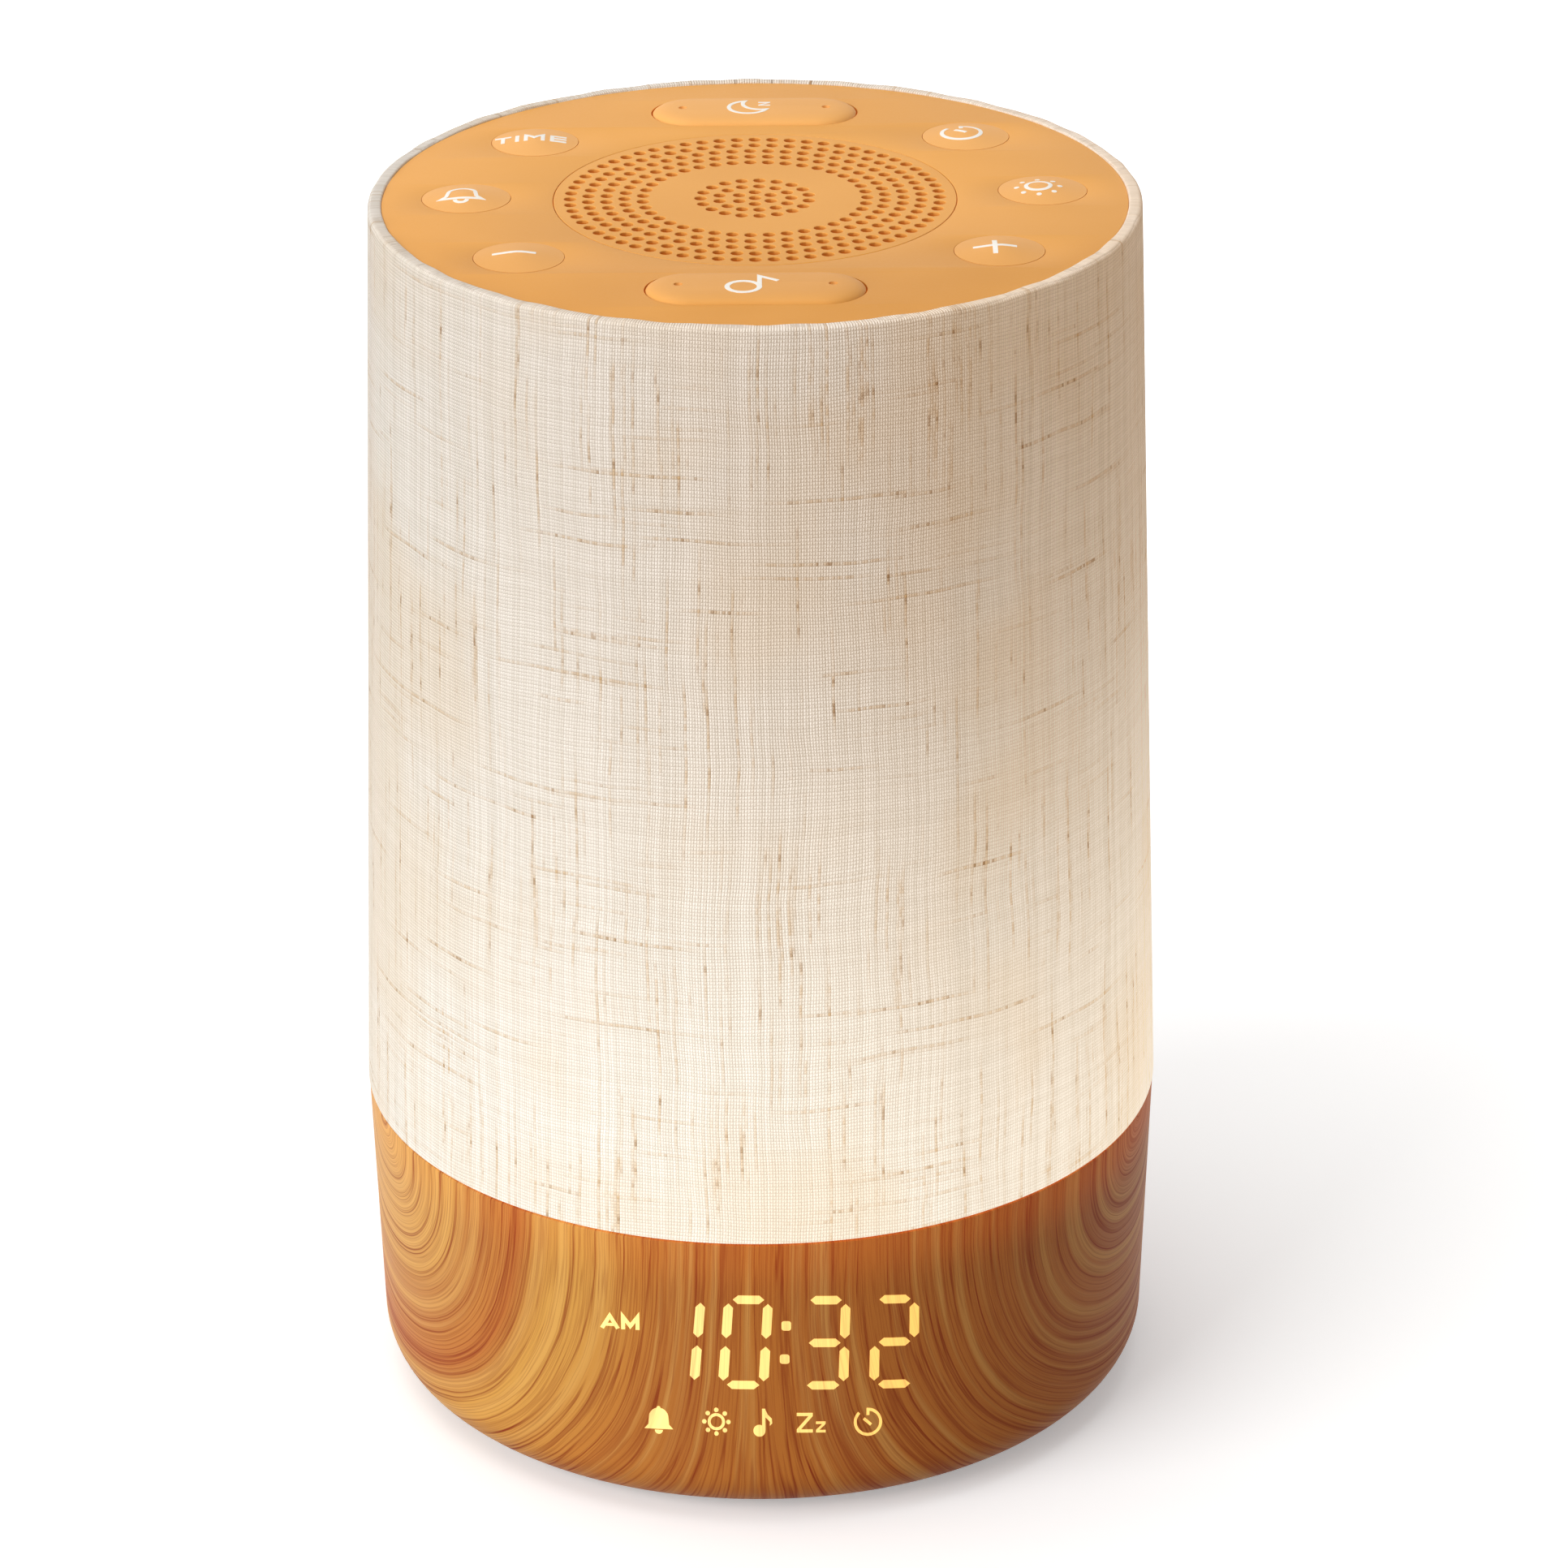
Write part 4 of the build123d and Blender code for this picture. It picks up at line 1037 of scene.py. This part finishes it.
def note_sign(low, high):
    return [
        stroke(arc((-0.9, -1.0), 1.9, 0, 350, 35), BOLD_PEN, low, high, closed=True),
        stroke([(1.0, -1.0), (1.0, 2.6), (3.2, 1.0)], PEN + 0.05, low, high),
    ]


KEY_PRINTS = {
    "time": time_word, "alarm": bell_outline, "minus": minus_sign,
    "power": timer_sign, "light": sun_sign, "plus": plus_sign,
}


def moved(piece, x, y):
    """Shift a piece on the drawing board."""
    select_only(piece)
    piece.location = metres(x, y, 0)
    bpy.ops.object.transform_apply(location=True, rotation=True, scale=True)
    return piece


def print_round_key(key, sign):
    """A print that follows the shallow cone of a key."""
    x, y = middle(f"{key}_key")
    ink = moved(joined(sign(PANEL_TOP - 1, PANEL_TOP + 2)), x + PRINT_SHIFT, y)
    rings = key_rings(KEY_RADIUS - 0.1)
    skin = turned(
        [(radius, crown(radius, PRINT_THICKNESS)) for radius in rings]
        + [(radius, crown(radius, -PRINT_THICKNESS)) for radius in reversed(rings)],
        KEY_STEPS, (x, y),
    )
    carve(ink, skin, "INTERSECT")
    settle(ink, f"{key}_print", f"{key}_button", white_print)


def print_rocker(rocker, sign, x):
    """A print on the flat middle of a rocker."""
    y = middle(f"{rocker}_rocker")[1]
    top = PANEL_TOP + PILL_RISE
    ink = moved(joined(sign(top - 1, top + 1)), x, y)
    film = block((x, y), 9, 6.4, top - PRINT_THICKNESS, top + PRINT_THICKNESS)
    carve(ink, film, "INTERSECT")
    settle(ink, f"{rocker}_print", f"{rocker}_rocker", white_print)


# --- Clock ----------------------------------------------------------------------------------------
LYING_HALF = 1.97  # half the length of a bar of a digit
UPRIGHT_HALF = 2.5
SEGMENT_PEN = 0.6  # half the width of a bar
DIGIT_HALF_WIDTH = 2.47
DIGIT_ROW = 6.15  # from the middle bar to the upper and lower ones
DIGIT_MIDDLE = 26.65
COLON_X = 2.75
ICON_MIDDLE = 15.05
ICON_HEIGHT = 1.15  # the marks are drawn taller than wide
ROW_TILT = -0.021  # the clock goes down a little to the right
CLOCK_NEAR = 45.0  # the flat shapes start this far in front of the axis
CLOCK_DEPTH = 10.0  # and go on for this much, so that they cross the skin of the base
DIGITS = {-10.6: "bc", -2.15: "abcdef", 7.6: "abcdg", 16.3: "abdeg"}  # bars by place


def leaning(x, y):
    """A point of the digits, which lean to the right, more so on the left of the clock."""
    return x + (y - DIGIT_MIDDLE) * (0.055 - 0.003 * x), y


def bar(centre, lying):
    """One bar of a clock digit, with pointed ends."""
    half = LYING_HALF if lying else UPRIGHT_HALF
    tip = SEGMENT_PEN * 1.05
    shape = [(-half, 0), (-half + tip, SEGMENT_PEN), (half - tip, SEGMENT_PEN),
             (half, 0), (half - tip, -SEGMENT_PEN), (-half + tip, -SEGMENT_PEN)]
    if not lying:
        shape = [(-y, x) for x, y in shape]
    return [leaning(centre[0] + x, centre[1] + y) for x, y in shape]


def digit_bars(x, bars):
    """The lit bars of the digit at x, by the letters that displays name them with."""
    y, side, row = DIGIT_MIDDLE, DIGIT_HALF_WIDTH, DIGIT_ROW
    places = {
        "a": ((x, y + row), True), "g": ((x, y), True), "d": ((x, y - row), True),
        "f": ((x - side, y + row / 2), False), "b": ((x + side, y + row / 2), False),
        "e": ((x - side, y - row / 2), False), "c": ((x + side, y - row / 2), False),
    }
    return [bar(*places[name]) for name in bars]


def through_shell(pieces, name):
    """Shapes drawn flat, stood up in front, and kept where they meet the skin of the base."""
    light = joined(pieces)
    for vertex in light.data.vertices:
        x = vertex.co.x / MM
        droop = (SHELL_TOP - math.sqrt(SHELL_TOP ** 2 - x ** 2)) * math.tan(CAMERA_PITCH)
        vertex.co.y += (x * ROW_TILT - droop) * MM
    light.location.y = -CLOCK_NEAR * MM
    stood(light)
    heights = [SHELL_FOOT + SHELL_CORNER + 2, *SHELL_ROWS, SEAM - 0.5]
    skin = turned(
        [(shell_radius(height) + PRINT_THICKNESS, height) for height in heights]
        + [(shell_radius(height) - PRINT_THICKNESS, height) for height in reversed(heights)],
        TURN_STEPS, closed=True,
    )
    carve(light, skin, "INTERSECT")
    settle(light, name, "root", clock_glow)


def make_digits(low, high):
    """The hours and minutes, with a colon between them."""
    shapes = [shape for x, bars in DIGITS.items() for shape in digit_bars(x, bars)]
    dots = [leaning(COLON_X, DIGIT_MIDDLE + rise) for rise in (2.45, -2.35)]
    shapes += [rounded(1.2, 1.35, 0.35, dot) for dot in dots]
    through_shell([slab(shape, low, high) for shape in shapes], "clock_digits")


def make_letters(low, high):
    """The two letters left of the hours."""
    letter_m = [(-17.35, 28.0), (-17.35, 29.8), (-16.45, 28.5), (-15.55, 29.8), (-15.55, 28.0)]
    letters = [
        stroke([(-20.0, 28.05), (-19.0, 29.85), (-18.0, 28.05)], 0.5, low, high),
        stroke([(-19.55, 28.6), (-18.45, 28.6)], 0.42, low, high),
        stroke(letter_m, 0.5, low, high),
    ]
    through_shell(letters, "clock_letters")


def full_bell(low, high):
    body = [(-1.8, -1.15), (-1.3, -0.6), *arc((0, 0.3), 1.22, 180, 0, 14), (1.3, -0.6), (1.8, -1.15)]
    knob = arc((0, 1.5), 0.24, 0, 340, 17)
    clapper = arc((0, -1.3), 0.5, 180, 360, 10)
    return [slab(shape, low, high) for shape in (body, knob, clapper)]


def full_note(low, high):
    head = arc((-0.45, -1.05), 0.75, 0, 345, 23)
    flag = [(0.25, 1.75), (0.6, 1.0), (1.1, 0.5), (1.15, -0.1), (0.85, -0.4), (0.88, 0.1), (0.25, 0.75)]
    stem = stroke([(0.1, -1.0), (0.1, 1.75)], 0.42, low, high)
    return [slab(head, low, high), slab(flag, low, high), stem]


def sleep_letters(low, high):
    large = small_z(low, high, -1.8, -1.25, 2.0, 2.5, 0.4)
    return [large, small_z(low, high, 0.6, -1.25, 1.2, 1.4, 0.32)]


def make_icons(low, high):
    """The row of marks under the digits."""
    icons = [
        (-13.1, full_bell(low, high)),
        (-5.9, sun_sign(low, high, ring=0.9, pen=0.36, dot=0.28, reach=1.5)),
        (-0.1, full_note(low, high)),
        (5.9, sleep_letters(low, high)),
        (13.0, timer_sign(low, high, ring=1.6, pen=0.36)),
    ]
    row = []
    for x, pieces in icons:
        for piece in pieces:
            piece.scale.y = ICON_HEIGHT
            row.append(moved(piece, x, ICON_MIDDLE))
    through_shell(row, "clock_icons")


make_top_panel()
make_grille()
for key in ROUND_KEYS:
    make_round_key(key)
    print_round_key(key, KEY_PRINTS[key])
for rocker in ROCKERS:
    make_rocker(rocker)
print_rocker("sleep", moon_sign, -0.8)
print_rocker("sound", note_sign, -0.55)
for make in (make_digits, make_letters, make_icons):
    make(0, CLOCK_DEPTH)

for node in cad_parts.values():
    if not node.hide_render and not node.data.materials:
        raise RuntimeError(f"{node.name} has no finish")
